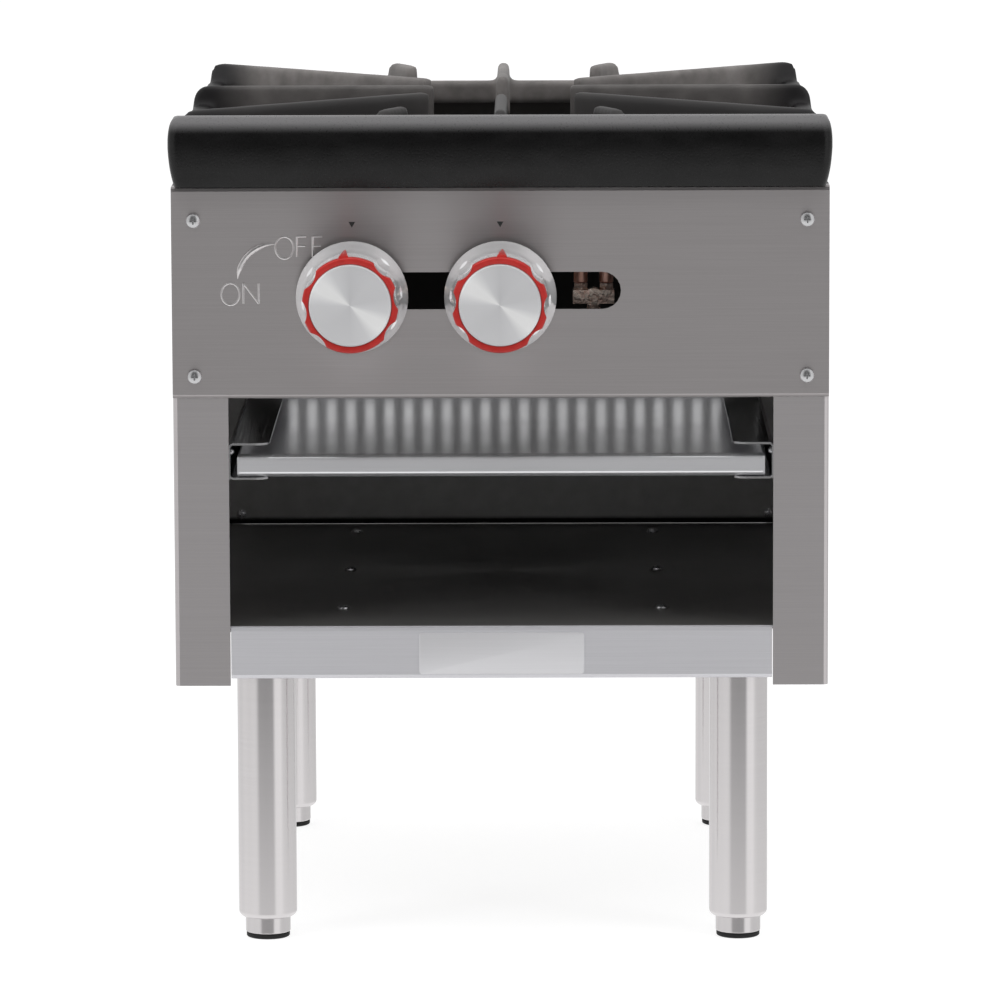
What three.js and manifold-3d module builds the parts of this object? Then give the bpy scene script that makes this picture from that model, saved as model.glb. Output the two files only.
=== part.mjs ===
// Commercial stock pot range, 18 in wide: a folded stainless body on four tubular legs, a cast-iron
// top grate and front ledge, a burner with three rings fed by two valves, and a slide-out drip tray.
// Millimetres, +Z up. While a piece is shaped, X runs to the right, Y runs to the back from the
// face of the control panel, and Z is the height over the floor.

import * as THREE from 'three';
import { mergeVertices } from 'three/addons/utils/BufferGeometryUtils.js';
import Module from 'manifold-3d';

const wasm = await Module();
wasm.setup();

// ---- Driving dimensions ----
const bodyHalfWidth = 228.6;
const bodyDepth = 531;
const sheet = 1.5;
const bendRadius = 1.5;
const gap = 0.3;

const sideBottomZ = 190.3;
const sideFrontTopZ = 538;
const sideRearTopZ = 558.7;
const columnInnerX = 190;
const columnFaceY = 1.8;

const panelBottomZ = 393.2;
const panelTopZ = 541.3;
const slotLeftX = -118;
const slotRightX = 83.8;
const slotBottomZ = 455.6;
const slotTopZ = 481.7;
const screwX = 213.2;
const screwHeights = [409, 518];

const shelfTopZ = 232;
const lipBottomZ = 195;
const lipHalfWidth = 189.5;
const stiffenerX = 113.3;
const backPanelY = 502;

const railBottomZ = 335.3;
const railTopZ = 361;
const railWebX = 190.6;
const railInnerX = 162;
const trayHalfWidth = 184.2;
const trayFrontY = 4;
const trayRearY = 490;
const trayTopZ = 351.7;

const ledgeHalfWidth = 230.2;
const ledgeFrontY = -12;
const ledgeRearY = 45.5;
const ledgeTopZ = 591;

const grateHalfWidth = 227;
const grateFrontY = 46.3;
const grateRearY = 499;
const grateTopZ = 590.5;
const rimTopZ = 576.2;
const rimBottomZ = 559;
const rimWidth = 14;

const burnerCentreY = 270;
const burnerBottomZ = 501.8;
const burnerTopZ = 528;
const venturiMouthY = 70;

const knobs = [
  { side: 'left', x: -103, turn: 7.5 },
  { side: 'right', x: 0, turn: -2.5 },
];
const knobZ = 465;
const knobSkirtRadius = 39;
const knobFaceY = -60;
const fluteAngles = [0, 40, 140, 180, 220, 320];

const manifoldY = 44;
const manifoldZ = 432;
const manifoldRadius = 13.35;
const inletX = 180;
const inletEndY = 556;
const pilotX = 65;
const pilotZ = 461;

const legX = 167.5;
const legFrontY = 59;
const legRearY = 482;
const legRadius = 20.65;
const footRadius = 15.95;

// ---- Finishes ----
function finish(color, roughness, metalness) {
  return new THREE.MeshStandardMaterial({ color, roughness, metalness });
}
const stainless = finish(0xa09d9b, 0.38, 1);
const brightStainless = finish(0xc4c4c8, 0.3, 1);
const castIron = finish(0x2b2a2a, 0.72, 0.4);
const castBurner = finish(0x3a3938, 0.8, 0.4);
const aluminised = finish(0x6d6c6b, 0.5, 0.9);
const chrome = finish(0xd6d6d8, 0.12, 1);
const redPlastic = finish(0xd2342f, 0.4, 0);
const spunAluminium = finish(0xcfcfd2, 0.3, 1);
const brass = finish(0xb08a4a, 0.35, 1);
const copper = finish(0xb07a63, 0.35, 1);
const blackPipe = finish(0x2e2d2c, 0.6, 0.6);
const rubber = finish(0x1c1c1d, 0.85, 0);

// ---- Solids ----
// A closed geometry becomes a solid: shared corners are merged, slivers dropped, faces turned out.
function solid(geometry) {
  const bare = geometry.clone();
  bare.deleteAttribute('normal');
  bare.deleteAttribute('uv');
  const merged = mergeVertices(bare, 1e-4);
  const points = merged.attributes.position.array;
  const corners = [];
  let volume = 0;
  for (let i = 0; i < merged.index.count; i += 3) {
    const [a, b, c] = [0, 1, 2].map((k) => merged.index.getX(i + k));
    if (a === b || b === c || c === a) continue;
    corners.push([a, b, c]);
    const [p, q, r] = [a, b, c].map((n) => new THREE.Vector3().fromArray(points, 3 * n));
    volume += p.dot(q.cross(r));
  }
  const ordered = volume < 0 ? corners.map(([a, b, c]) => [a, c, b]) : corners;
  return new wasm.Manifold(new wasm.Mesh({
    numProp: 3,
    vertProperties: new Float32Array(points),
    triVerts: new Uint32Array(ordered.flat()),
  }));
}

function join(...parts) {
  return parts.reduce((whole, part) => whole.add(part));
}

function cut(whole, ...tools) {
  return tools.reduce((rest, tool) => rest.subtract(tool), whole);
}

function piece(name, body, material) {
  const mesh = body.getMesh();
  const geometry = new THREE.BufferGeometry();
  geometry.setAttribute('position', new THREE.BufferAttribute(new Float32Array(mesh.vertProperties), 3));
  geometry.setIndex(new THREE.BufferAttribute(new Uint32Array(mesh.triVerts), 1));
  geometry.computeVertexNormals();
  const made = new THREE.Mesh(geometry, material);
  made.name = name;
  return made;
}

function box(x0, x1, y0, y1, z0, z1) {
  const geometry = new THREE.BoxGeometry(Math.abs(x1 - x0), Math.abs(y1 - y0), Math.abs(z1 - z0));
  return solid(geometry.translate((x0 + x1) / 2, (y0 + y1) / 2, (z0 + z1) / 2));
}

// The points of an outline of corners [x, y, radius], each rounded by an arc of a few steps.
function roundedPoints(corners, steps) {
  const points = [];
  corners.forEach(([x, y, radius = 0], i) => {
    const corner = new THREE.Vector2(x, y);
    if (radius === 0) {
      points.push(corner);
      return;
    }
    const [px, py] = corners[(i + corners.length - 1) % corners.length];
    const [nx, ny] = corners[(i + 1) % corners.length];
    const back = new THREE.Vector2(px, py).sub(corner).normalize();
    const on = new THREE.Vector2(nx, ny).sub(corner).normalize();
    const half = Math.acos(THREE.MathUtils.clamp(back.dot(on), -1, 1)) / 2;
    const centre = back.clone().add(on).normalize().multiplyScalar(radius / Math.sin(half)).add(corner);
    const start = back.multiplyScalar(radius / Math.tan(half)).add(corner).sub(centre);
    const end = on.multiplyScalar(radius / Math.tan(half)).add(corner).sub(centre);
    const sweep = Math.atan2(start.cross(end), start.dot(end));
    for (let s = 0; s <= steps; s += 1) {
      points.push(start.clone().rotateAround(new THREE.Vector2(), (sweep * s) / steps).add(centre));
    }
  });
  return points;
}

function outline(corners, steps = 3) {
  return new THREE.Shape(roundedPoints(corners, steps));
}

// The section of a folded sheet: a line of bends, with the sheet's thickness laid to its left.
function foldedSheet(line, thickness = sheet, bend = bendRadius) {
  const points = line.map(([x, y]) => new THREE.Vector2(x, y));
  const face = [];
  const reverse = [];
  points.forEach((point, i) => {
    const before = points[Math.max(i - 1, 0)];
    const after = points[Math.min(i + 1, points.length - 1)];
    const into = (i === 0 ? after.clone().sub(point) : point.clone().sub(before)).normalize();
    const out = (i === points.length - 1 ? into.clone() : after.clone().sub(point)).normalize();
    const left = (d) => new THREE.Vector2(-d.y, d.x);
    const miter = left(into).add(left(out)).normalize();
    const shifted = miter.clone().multiplyScalar(thickness / miter.dot(left(into))).add(point);
    const turn = into.cross(out);
    const straight = Math.abs(turn) < 1e-6;
    const faceRadius = turn > 0 ? bend + thickness : bend;
    const reverseRadius = turn > 0 ? bend : bend + thickness;
    face.push([point.x, point.y, straight ? 0 : faceRadius]);
    reverse.push([shifted.x, shifted.y, straight ? 0 : reverseRadius]);
  });
  return outline([...face, ...reverse.reverse()], 2);
}

const alongX = new THREE.Matrix4().makeBasis(
  new THREE.Vector3(0, 1, 0), new THREE.Vector3(0, 0, 1), new THREE.Vector3(1, 0, 0));
const alongY = new THREE.Matrix4().makeBasis(
  new THREE.Vector3(1, 0, 0), new THREE.Vector3(0, 0, 1), new THREE.Vector3(0, -1, 0));

function extrude(shape, depth) {
  return new THREE.ExtrudeGeometry(shape, { depth, bevelEnabled: false, steps: 1 });
}

// Sections in (Y, Z), (X, Z) and (X, Y) drawn out along X, Y and Z.
function drawX(shape, x0, x1) {
  return solid(extrude(shape, x1 - x0).applyMatrix4(alongX).translate(x0, 0, 0));
}
function drawY(shape, y0, y1) {
  return solid(extrude(shape, y1 - y0).applyMatrix4(alongY).translate(0, y1, 0));
}
function drawZ(shape, z0, z1) {
  return solid(extrude(shape, z1 - z0).translate(0, 0, z0));
}

// Profiles of [radius, height], turned about a vertical axis or, with height as Y, about a level one.
function turnZ(profile, segments, x = 0, y = 0) {
  const points = profile.map(([r, h]) => new THREE.Vector2(r, h));
  return solid(new THREE.LatheGeometry(points, segments).rotateX(Math.PI / 2).translate(x, y, 0));
}
function turnY(profile, segments, x = 0, z = 0) {
  const points = profile.map(([r, h]) => new THREE.Vector2(r, h));
  return solid(new THREE.LatheGeometry(points, segments).translate(x, 0, z));
}

function ring(profile) {
  return [...profile, profile[0]];
}

// A solid through a stack of level convex rings with the same number of points.
function loft(rings) {
  const count = rings[0].length;
  const position = rings.flat().flatMap((p) => [p.x, p.y, p.z]);
  const index = [];
  for (let r = 0; r < rings.length - 1; r += 1) {
    for (let i = 0; i < count; i += 1) {
      const a = r * count + i;
      const b = r * count + ((i + 1) % count);
      index.push(a, b, b + count, a, b + count, a + count);
    }
  }
  const last = (rings.length - 1) * count;
  for (let i = 1; i < count - 1; i += 1) {
    index.push(0, i + 1, i);
    index.push(last, last + i, last + i + 1);
  }
  const geometry = new THREE.BufferGeometry();
  geometry.setAttribute('position', new THREE.Float32BufferAttribute(position, 3));
  geometry.setIndex(index);
  return solid(geometry);
}

function levelRing(corners, z, steps = 3) {
  return roundedPoints(corners, steps).map((p) => new THREE.Vector3(p.x, p.y, z));
}

// A path with rounded corners, whose stations are the ends and steps of its bends.
class BentPath extends THREE.Curve {
  constructor(corners, bend, bendSteps = 4) {
    super();
    this.stations = [];
    corners.forEach((corner, i) => {
      const here = new THREE.Vector3(...corner);
      const before = new THREE.Vector3(...corners[Math.max(i - 1, 0)]);
      const after = new THREE.Vector3(...corners[Math.min(i + 1, corners.length - 1)]);
      const into = here.clone().sub(before).normalize();
      const out = after.clone().sub(here).normalize();
      if (i === 0 || i === corners.length - 1) {
        this.stations.push([here, i === 0 ? out : into]);
        return;
      }
      const turn = into.angleTo(out);
      const start = here.clone().addScaledVector(into, -bend * Math.tan(turn / 2));
      const inward = out.clone().addScaledVector(into, -into.dot(out)).normalize();
      const centre = start.clone().addScaledVector(inward, bend);
      for (let s = 0; s <= bendSteps; s += 1) {
        const angle = (turn * s) / bendSteps;
        const tangent = into.clone().multiplyScalar(Math.cos(angle)).addScaledVector(inward, Math.sin(angle));
        const spoke = inward.clone().multiplyScalar(-Math.cos(angle)).addScaledVector(into, Math.sin(angle));
        this.stations.push([spoke.multiplyScalar(bend).add(centre), tangent]);
      }
    });
  }

  getPointAt(u) {
    return this.stations[Math.round(u * (this.stations.length - 1))][0].clone();
  }

  getTangentAt(u) {
    return this.stations[Math.round(u * (this.stations.length - 1))][1].clone();
  }
}

function circle(radius, sides) {
  const points = [];
  for (let i = 0; i < sides; i += 1) {
    const angle = (2 * Math.PI * i) / sides;
    points.push(new THREE.Vector2(radius * Math.cos(angle), radius * Math.sin(angle)));
  }
  return new THREE.Shape(points);
}

function tube(corners, bend, radius, sides) {
  const extrudePath = new BentPath(corners, bend);
  const steps = extrudePath.stations.length - 1;
  return solid(new THREE.ExtrudeGeometry(circle(radius, sides), { steps, extrudePath }));
}

// ---- Body ----
// Each side is one folded sheet: front flange (the column), wall, rear flange, top and bottom flanges.
function sidePanel(side) {
  const rearFlangeX = 203;
  const bottomFlangeX = 208;
  const section = foldedSheet([
    [columnInnerX, columnFaceY],
    [bodyHalfWidth, columnFaceY],
    [bodyHalfWidth, bodyDepth],
    [rearFlangeX, bodyDepth],
  ]);
  const ledgeNotch = box(180, 240, 0, ledgeRearY + 1.5, sideFrontTopZ, sideRearTopZ + 1);
  const wall = cut(drawZ(section, sideBottomZ, sideRearTopZ), ledgeNotch);
  const wallX = bodyHalfWidth - sheet / 2;
  const flange = (innerX, frontY, z) => box(innerX, wallX, frontY, bodyDepth - 6, z, z + sheet);
  const topFlange = flange(rearFlangeX, ledgeRearY + 6, sideRearTopZ - sheet);
  const bottomFlange = flange(bottomFlangeX, columnFaceY + 6, sideBottomZ);
  const holes = screwHeights.map((z) => turnY([[0, 0], [2.7, 0], [2.7, 6], [0, 6]], 8, screwX, z));
  const right = cut(join(wall, topFlange, bottomFlange), ...holes);
  return side > 0 ? right : mirrored(right);
}

// The same solid on the other side of the centre plane.
function mirrored(body) {
  const mesh = body.getMesh();
  const geometry = new THREE.BufferGeometry();
  const flipped = new Float32Array(mesh.vertProperties).map((value, i) => (i % 3 === 0 ? -value : value));
  geometry.setAttribute('position', new THREE.BufferAttribute(flipped, 3));
  geometry.setIndex(new THREE.BufferAttribute(new Uint32Array(mesh.triVerts), 1));
  return solid(geometry);
}

function frontPanel() {
  const section = foldedSheet([[30, panelTopZ], [0, panelTopZ], [0, panelBottomZ], [22, panelBottomZ]]);
  const whole = drawX(section, -bodyHalfWidth, bodyHalfWidth);
  const slotRadius = (slotTopZ - slotBottomZ) / 2;
  const slot = drawY(outline([
    [slotLeftX, slotBottomZ, slotRadius - 0.01],
    [slotRightX, slotBottomZ, slotRadius - 0.01],
    [slotRightX, slotTopZ, slotRadius - 0.01],
    [slotLeftX, slotTopZ, slotRadius - 0.01],
  ], 5), -1, 5);
  const relief = [-1, 1].map((side) => box(side * (columnInnerX - 0.6), side * 230, sheet, 40,
    panelBottomZ - 1, sideFrontTopZ + 0.3));
  const holes = [-screwX, screwX].flatMap((x) => screwHeights.map(
    (z) => turnY([[0, -1], [2.7, -1], [2.7, 4], [0, 4]], 8, x, z)));
  return cut(whole, slot, ...relief, ...holes);
}

function panelScrew(x, z) {
  const profile = [[0, -3.1], [2.6, -2.8], [4.4, -1.6], [5, -0.3], [2.2, -0.3], [2.2, 8], [0, 8.6]];
  return turnY(profile, 8, x, z);
}

// The back of the cavity and burner box: a pan open to the rear, with a row of upright vent slots.
// Its top is cut down at both ends to pass under the side panels' top flanges.
function backPanel() {
  const halfWidth = bodyHalfWidth - sheet - 0.5;
  const section = foldedSheet([
    [-halfWidth, bodyDepth - 6],
    [-halfWidth, backPanelY],
    [halfWidth, backPanelY],
    [halfWidth, bodyDepth - 6],
  ]);
  const flangeInnerX = 202;
  const shoulders = [-1, 1].map((side) => box(side * flangeInnerX, side * (halfWidth + 1),
    backPanelY - 1, bodyDepth, sideRearTopZ - sheet - gap, sideRearTopZ + 1));
  const plate = cut(drawZ(section, shelfTopZ + gap, sideRearTopZ - gap), ...shoulders);
  const ventCount = 23;
  const ventPitch = 14.87;
  const ventBottomZ = 350;
  const ventTopZ = 390;
  const vents = [];
  for (let i = 0; i < ventCount; i += 1) {
    const x = (i - (ventCount - 1) / 2) * ventPitch;
    vents.push(box(x - 3.5, x + 3.5, backPanelY - 1, backPanelY + 4, ventBottomZ, ventTopZ));
  }
  const inletHole = turnY([[0, 500], [15.5, 500], [15.5, 506], [0, 506]], 12, inletX, manifoldZ);
  return cut(plate, ...vents, inletHole);
}

// The shelf is an upturned pan. Its lip shows between the columns; its wings run behind them.
function bottomShelf() {
  const rearY = bodyDepth - sheet - 0.6;
  const wingX = bodyHalfWidth - sheet - 0.7;
  const wingFrontY = columnFaceY + sheet + 0.6;
  const deck = foldedSheet([[rearY, lipBottomZ], [rearY, shelfTopZ], [wingFrontY, shelfTopZ]]);
  const lip = foldedSheet([
    [wingFrontY + 12, shelfTopZ],
    [columnFaceY, shelfTopZ],
    [columnFaceY, lipBottomZ],
    [columnFaceY + 12, lipBottomZ],
  ]);
  const flanges = [-1, 1].map((side) => box(side * wingX, side * (wingX - sheet),
    wingFrontY + 1, rearY - sheet / 2, lipBottomZ + 2, shelfTopZ - sheet / 2));
  return join(drawX(deck, -wingX, wingX), drawX(lip, -lipHalfWidth, lipHalfWidth), ...flanges);
}

function shelfStiffener(side) {
  const x = side * stiffenerX;
  const top = shelfTopZ - sheet - gap;
  return drawY(foldedSheet([[x - 14, 208], [x - 14, top], [x + 14, top], [x + 14, 208]].reverse()), 24, 508);
}

// ---- Drip tray and its rails ----
// A channel with its web outward, and a screw tab behind the column and in front of the back panel.
// Its flanges stop a little short of the tabs, where these are bent out of the web.
function trayRail(side) {
  const rearY = backPanelY - 0.7;
  const frontY = trayFrontY;
  const channel = drawY(foldedSheet([
    [railInnerX, railBottomZ],
    [railWebX, railBottomZ],
    [railWebX, railTopZ],
    [railInnerX, railTopZ],
  ]), frontY, rearY);
  const tabX = 214;
  const webX = railWebX - sheet / 2;
  const frontTab = box(webX, tabX, frontY, frontY + sheet, railBottomZ + 4, railTopZ - 4);
  const rearTab = box(webX, tabX, rearY - sheet, rearY, railBottomZ + 4, railTopZ - 4);
  const flangeSetback = 4;
  const webInnerX = railWebX - sheet;
  const plan = drawZ(outline([
    [railInnerX, frontY + flangeSetback, 9],
    [webInnerX, frontY + flangeSetback],
    [webInnerX, frontY],
    [tabX, frontY],
    [tabX, rearY],
    [webInnerX, rearY],
    [webInnerX, rearY - flangeSetback],
    [railInnerX, rearY - flangeSetback],
  ]), railBottomZ - 1, railTopZ + 1);
  const right = join(channel, frontTab, rearTab).intersect(plan);
  return side > 0 ? right : mirrored(right);
}

// A folded sheet with its ends closed by plates that stand a hair proud of it all round.
function dripTray() {
  const bottomZ = railBottomZ + sheet + gap;
  const hemZ = 340;
  const side = (inset) => [
    [trayFrontY + inset, trayTopZ - inset],
    [trayFrontY + inset, hemZ],
    [trayFrontY + 6, bottomZ + inset],
    [trayRearY - inset, bottomZ + inset],
    [trayRearY - inset, trayTopZ - inset],
  ];
  const rolledEdge = [trayFrontY + 20, trayTopZ - 0.2];
  const floor = foldedSheet([rolledEdge, ...side(0.2)], 1.2, 0.8);
  const thickness = 1.2;
  const end = outline(side(0));
  return join(
    drawX(floor, -trayHalfWidth + thickness / 2, trayHalfWidth - thickness / 2),
    drawX(end, -trayHalfWidth, -trayHalfWidth + thickness),
    drawX(end, trayHalfWidth - thickness, trayHalfWidth));
}

// ---- Cast-iron top ----
// The ledge's face and ends swell with height and roll over to a crown near the front, from which
// the top falls to the back. It is hollow underneath. Stations are [height, front inset, end inset].
function frontLedge() {
  const stations = [
    [0, 4.8, 4.2], [6, 2.9, 2.6], [15, 1, 1], [27, 0, 0], [36, 0.7, 0.2],
    [42.5, 2.9, 1.2], [46, 5.2, 2.6], [48.3, 8.2, 4.6], [49.3, 11.5, 7],
  ];
  const bottomZ = ledgeTopZ - 49.3;
  const rings = stations.map(([height, front, end]) => levelRing([
    [-ledgeHalfWidth + end, ledgeFrontY + front, 7],
    [ledgeHalfWidth - end, ledgeFrontY + front, 7],
    [ledgeHalfWidth - end, ledgeRearY],
    [-ledgeHalfWidth + end, ledgeRearY],
  ], bottomZ + height, 4));
  const hollow = [[-1, 0], [41, 5]].map(([height, draft]) => levelRing([
    [-218 + draft, 1 + draft, 3],
    [218 - draft, 1 + draft, 3],
    [218 - draft, 38 - draft, 3],
    [-218 + draft, 38 - draft, 3],
  ], bottomZ + height, 1));
  const crownY = 4;
  const fall = 5.5;
  const above = drawX(outline([
    [crownY, ledgeTopZ],
    [ledgeRearY + 1, ledgeTopZ - fall],
    [ledgeRearY + 1, ledgeTopZ + 1],
    [crownY, ledgeTopZ + 1],
  ]), -ledgeHalfWidth - 1, ledgeHalfWidth + 1);
  return cut(loft(rings), loft(hollow), above);
}

// One fin of the grate, cast with draft and a rolled top edge. It starts at the rim's outer face,
// rises over a round shoulder, and its underside climbs from the root to a free inner end.
function grateFin([outerX, outerY], [innerX, innerY], tipRadius = 2) {
  const length = Math.hypot(innerX - outerX, innerY - outerY);
  const rootDepth = length > 60 ? 551 : rimBottomZ;
  const tipZ = length > 60 ? 562 : 564;
  const clear = 34;
  const side = outline([
    [0, rimBottomZ + 1],
    [clear, rimBottomZ + 1],
    [clear + 6, rootDepth + 1],
    [length, tipZ, 4],
    [length, grateTopZ, tipRadius],
    [2.4, grateTopZ, 11],
    [0.4, rimTopZ - 3],
  ], 4);
  const section = outline([
    [-5.2, rootDepth - 3],
    [5.2, rootDepth - 3],
    [4.4, grateTopZ, 2.4],
    [-4.4, grateTopZ, 2.4],
  ], 2);
  const blade = extrude(side, 16).applyMatrix4(alongY).translate(0, 8, 0);
  const bar = extrude(section, length + 4).applyMatrix4(alongX).translate(-2, 0, 0);
  const turn = Math.atan2(innerY - outerY, innerX - outerX);
  const placed = [blade, bar].map((part) => solid(part.rotateZ(turn).translate(outerX, outerY, 0)));
  return placed[0].intersect(placed[1]);
}

function rimCorners(inset, radius) {
  return [
    [-grateHalfWidth + inset, grateFrontY + inset, radius],
    [grateHalfWidth - inset, grateFrontY + inset, radius],
    [grateHalfWidth - inset, grateRearY - inset, radius],
    [-grateHalfWidth + inset, grateRearY - inset, radius],
  ];
}

// The grate: a square rim with eight long fins towards the open middle, and four short ones.
function topGrate() {
  const centreY = (grateFrontY + grateRearY) / 2;
  const outer = [[rimBottomZ, 1.5], [rimTopZ - 2.5, 0], [rimTopZ, 2.2]];
  const inner = [[rimBottomZ - 1, rimWidth - 1], [rimTopZ + 1, rimWidth]];
  const rim = cut(
    loft(outer.map(([z, inset]) => levelRing(rimCorners(inset, 16), z, 4))),
    loft(inner.map(([z, inset]) => levelRing(rimCorners(inset, 8), z, 2))));
  const skewStep = 2.2;
  const fins = [];
  [-1, 1].forEach((end) => {
    const rimY = centreY + end * (grateRearY - grateFrontY) / 2;
    fins.push(grateFin([0, rimY], [0, centreY + end * 77]));
    fins.push(grateFin([end * grateHalfWidth, centreY], [end * 50, centreY]));
    [-1, 1].forEach((side) => {
      fins.push(grateFin([side * (grateHalfWidth - 4), rimY - end * 4], [side * 54.5, centreY + end * 63]));
      fins.push(grateFin([side * 86, rimY - end * skewStep], [side * 68.3, centreY + end * 184], 4));
    });
  });
  return join(rim, ...fins);
}

// ---- Burner ----
// A ring of the burner: flat foot, upright walls, sloped shoulders, and gas ports sawn across its top.
function burnerRing(radius, halfWidth, segments, ports) {
  const shoulderZ = burnerTopZ - 8;
  const body = turnZ(ring([
    [radius - halfWidth + 1, burnerBottomZ],
    [radius + halfWidth - 1, burnerBottomZ],
    [radius + halfWidth, shoulderZ],
    [radius + halfWidth * 0.4, burnerTopZ],
    [radius - halfWidth * 0.4, burnerTopZ],
    [radius - halfWidth, shoulderZ],
  ]), segments, 0, burnerCentreY);
  const cuts = [];
  for (let i = 0; i < ports; i += 1) {
    const notch = new THREE.BoxGeometry(halfWidth / 2, 2.4, 5);
    notch.translate(radius, 0, burnerTopZ).rotateZ(2 * Math.PI * (i / ports + 0.5 / segments));
    cuts.push(solid(notch.translate(0, burnerCentreY, 0)));
  }
  return cut(body, ...cuts);
}

// Arms between radius r0 and r1, one at each angle in degrees.
function burnerArms(r0, r1, width, z0, z1, angles) {
  return angles.map((angle) => {
    const arm = new THREE.BoxGeometry(r1 - r0, width, z1 - z0);
    arm.translate((r0 + r1) / 2, 0, (z0 + z1) / 2).rotateZ(THREE.MathUtils.degToRad(angle));
    return solid(arm.translate(0, burnerCentreY, 0));
  });
}

// The mixing tube: a bell mouth, a throat, a widening barrel, and an elbow up into the burner.
function mixingTube(x, riserY) {
  const barrelY = riserY - 24;
  const barrel = [
    [0, venturiMouthY],
    [24, venturiMouthY],
    [24, venturiMouthY + 3],
    [18, venturiMouthY + 9],
    [14, venturiMouthY + 20],
    [15.5, venturiMouthY + 44],
    [15.5, barrelY + 2],
    [0, barrelY + 2],
  ];
  const bore = [
    [0, venturiMouthY - 1],
    [20.5, venturiMouthY - 1],
    [20.5, venturiMouthY + 2],
    [14, venturiMouthY + 9],
    [10.5, venturiMouthY + 20],
    [12, venturiMouthY + 44],
    [12, barrelY + 2],
    [0, barrelY + 2],
  ];
  const route = (startY, endZ) => [[x, startY, knobZ], [x, riserY, knobZ], [x, riserY, endZ]];
  const outside = join(turnY(barrel, 12, x, knobZ), tube(route(barrelY, burnerBottomZ + 6), 16, 15.5, 12));
  const inside = join(turnY(bore, 12, x, knobZ), tube(route(barrelY, burnerBottomZ + 4), 16, 12, 12));
  return [outside, inside];
}

// Outer and middle rings are one casting, fed by the left valve.
function outerBurner() {
  const radius = 150;
  const x = knobs[0].x;
  const riserY = burnerCentreY - Math.sqrt(radius * radius - x * x);
  const [outside, inside] = mixingTube(x, riserY);
  const arms = burnerArms(103, 144, 18, burnerBottomZ, burnerBottomZ + 14, [50, 130, 226.5, 310]);
  return cut(join(burnerRing(radius, 14, 28, 14), burnerRing(100, 12, 20, 10), ...arms, outside), inside);
}

// The inner ring stands round a hub over its own mixing tube, with two feet on the burner bars.
function innerBurner() {
  const [outside, inside] = mixingTube(knobs[1].x, burnerCentreY);
  const spokes = burnerArms(12, 50, 10, burnerBottomZ, burnerBottomZ + 14, [0, 90, 180, 270]);
  const feet = burnerArms(50, 84, 16, burnerBottomZ, burnerBottomZ + 10, [90, 270]);
  const hub = turnZ([[0, burnerBottomZ - 6], [18, burnerBottomZ - 6], [18, burnerBottomZ + 12],
    [14, burnerBottomZ + 18], [0, burnerBottomZ + 18]], 16, 0, burnerCentreY);
  return cut(join(burnerRing(55, 12, 16, 8), hub, ...spokes, ...feet, outside), inside);
}

// Angle bars across the body carry the burner; the front one is notched for the pilot tube.
function burnerBar(y, notched) {
  const top = burnerBottomZ - gap;
  const halfWidth = bodyHalfWidth - sheet - 0.6;
  const angle = drawX(foldedSheet([[y - 12.5, top], [y + 12.5, top], [y + 12.5, top - 18]].reverse()),
    -halfWidth, halfWidth);
  const tabs = [-1, 1].map((side) => box(side * halfWidth, side * (halfWidth - sheet),
    y - 9, y + 8, top - 36, top - sheet / 2));
  const bar = join(angle, ...tabs);
  return notched ? cut(bar, box(66, 80, y + 5, y + 20, top - 20, top - 5)) : bar;
}

// A disc with three air windows that turns in front of a mixing tube's mouth.
function airShutter(x) {
  const front = venturiMouthY - 2.1;
  const back = venturiMouthY - 0.6;
  const disc = turnY(ring([[9, front], [23, front], [23, back], [9, back]]), 18, x, knobZ);
  const windows = [30, 150, 270].map((start) => {
    const points = [];
    for (let i = 0; i <= 2; i += 1) points.push([12, start + i * 30]);
    for (let i = 2; i >= 0; i -= 1) points.push([20, start + i * 30]);
    const shape = new THREE.Shape(points.map(([r, degrees]) => {
      const angle = THREE.MathUtils.degToRad(degrees);
      return new THREE.Vector2(x + r * Math.cos(angle), knobZ + r * Math.sin(angle));
    }));
    return drawY(shape, front - 1, back + 1);
  });
  const tab = box(x - 3, x + 3, front, back, knobZ - 30, knobZ - 22);
  return join(cut(disc, ...windows), tab);
}

// ---- Gas ----
function gasManifold() {
  const bend = 26;
  const route = (beyond) => [
    [-150 - beyond, manifoldY, manifoldZ],
    [inletX, manifoldY, manifoldZ],
    [inletX, inletEndY + beyond, manifoldZ],
  ];
  return cut(tube(route(0), bend, manifoldRadius, 12), tube(route(1), bend, 10.5, 10));
}

function manifoldCap() {
  const x = -150.4;
  const cap = new THREE.CylinderGeometry(17, 17, 20, 8).rotateZ(Math.PI / 2).rotateX(Math.PI / 8);
  const socket = new THREE.CylinderGeometry(13.8, 13.8, 14, 12).rotateZ(Math.PI / 2);
  cap.translate(x, manifoldY, manifoldZ);
  socket.translate(x + 4, manifoldY, manifoldZ);
  return cut(solid(cap), solid(socket));
}

function gasValve(x) {
  const profile = [[0, 14], [9, 14], [9, 22], [13, 24], [13, 48], [9, 51], [9, 58], [0, 58]];
  const body = turnY(profile, 12, x, knobZ);
  const inlet = turnZ([[0, 445.7], [7, 445.7], [7, 462], [0, 462]], 8, x, manifoldY);
  const nut = turnZ([[0, 447.5], [10.5, 447.5], [10.5, 453.5], [0, 453.5]], 6, x, manifoldY);
  const bore = turnY([[0, 13], [4.4, 13], [4.4, 30], [0, 30]], 12, x, knobZ);
  return cut(join(body, inlet, nut), bore);
}

function valveStem(x) {
  return turnY([[0, -38], [3.6, -38], [4, -37.4], [4, 28], [0, 28]], 12, x, knobZ);
}

function orificeHood(x) {
  return turnY([[0, 58.3], [8, 58.3], [8, 66], [5, 68.5], [3.4, 73], [0, 73]], 6, x, knobZ);
}

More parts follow.
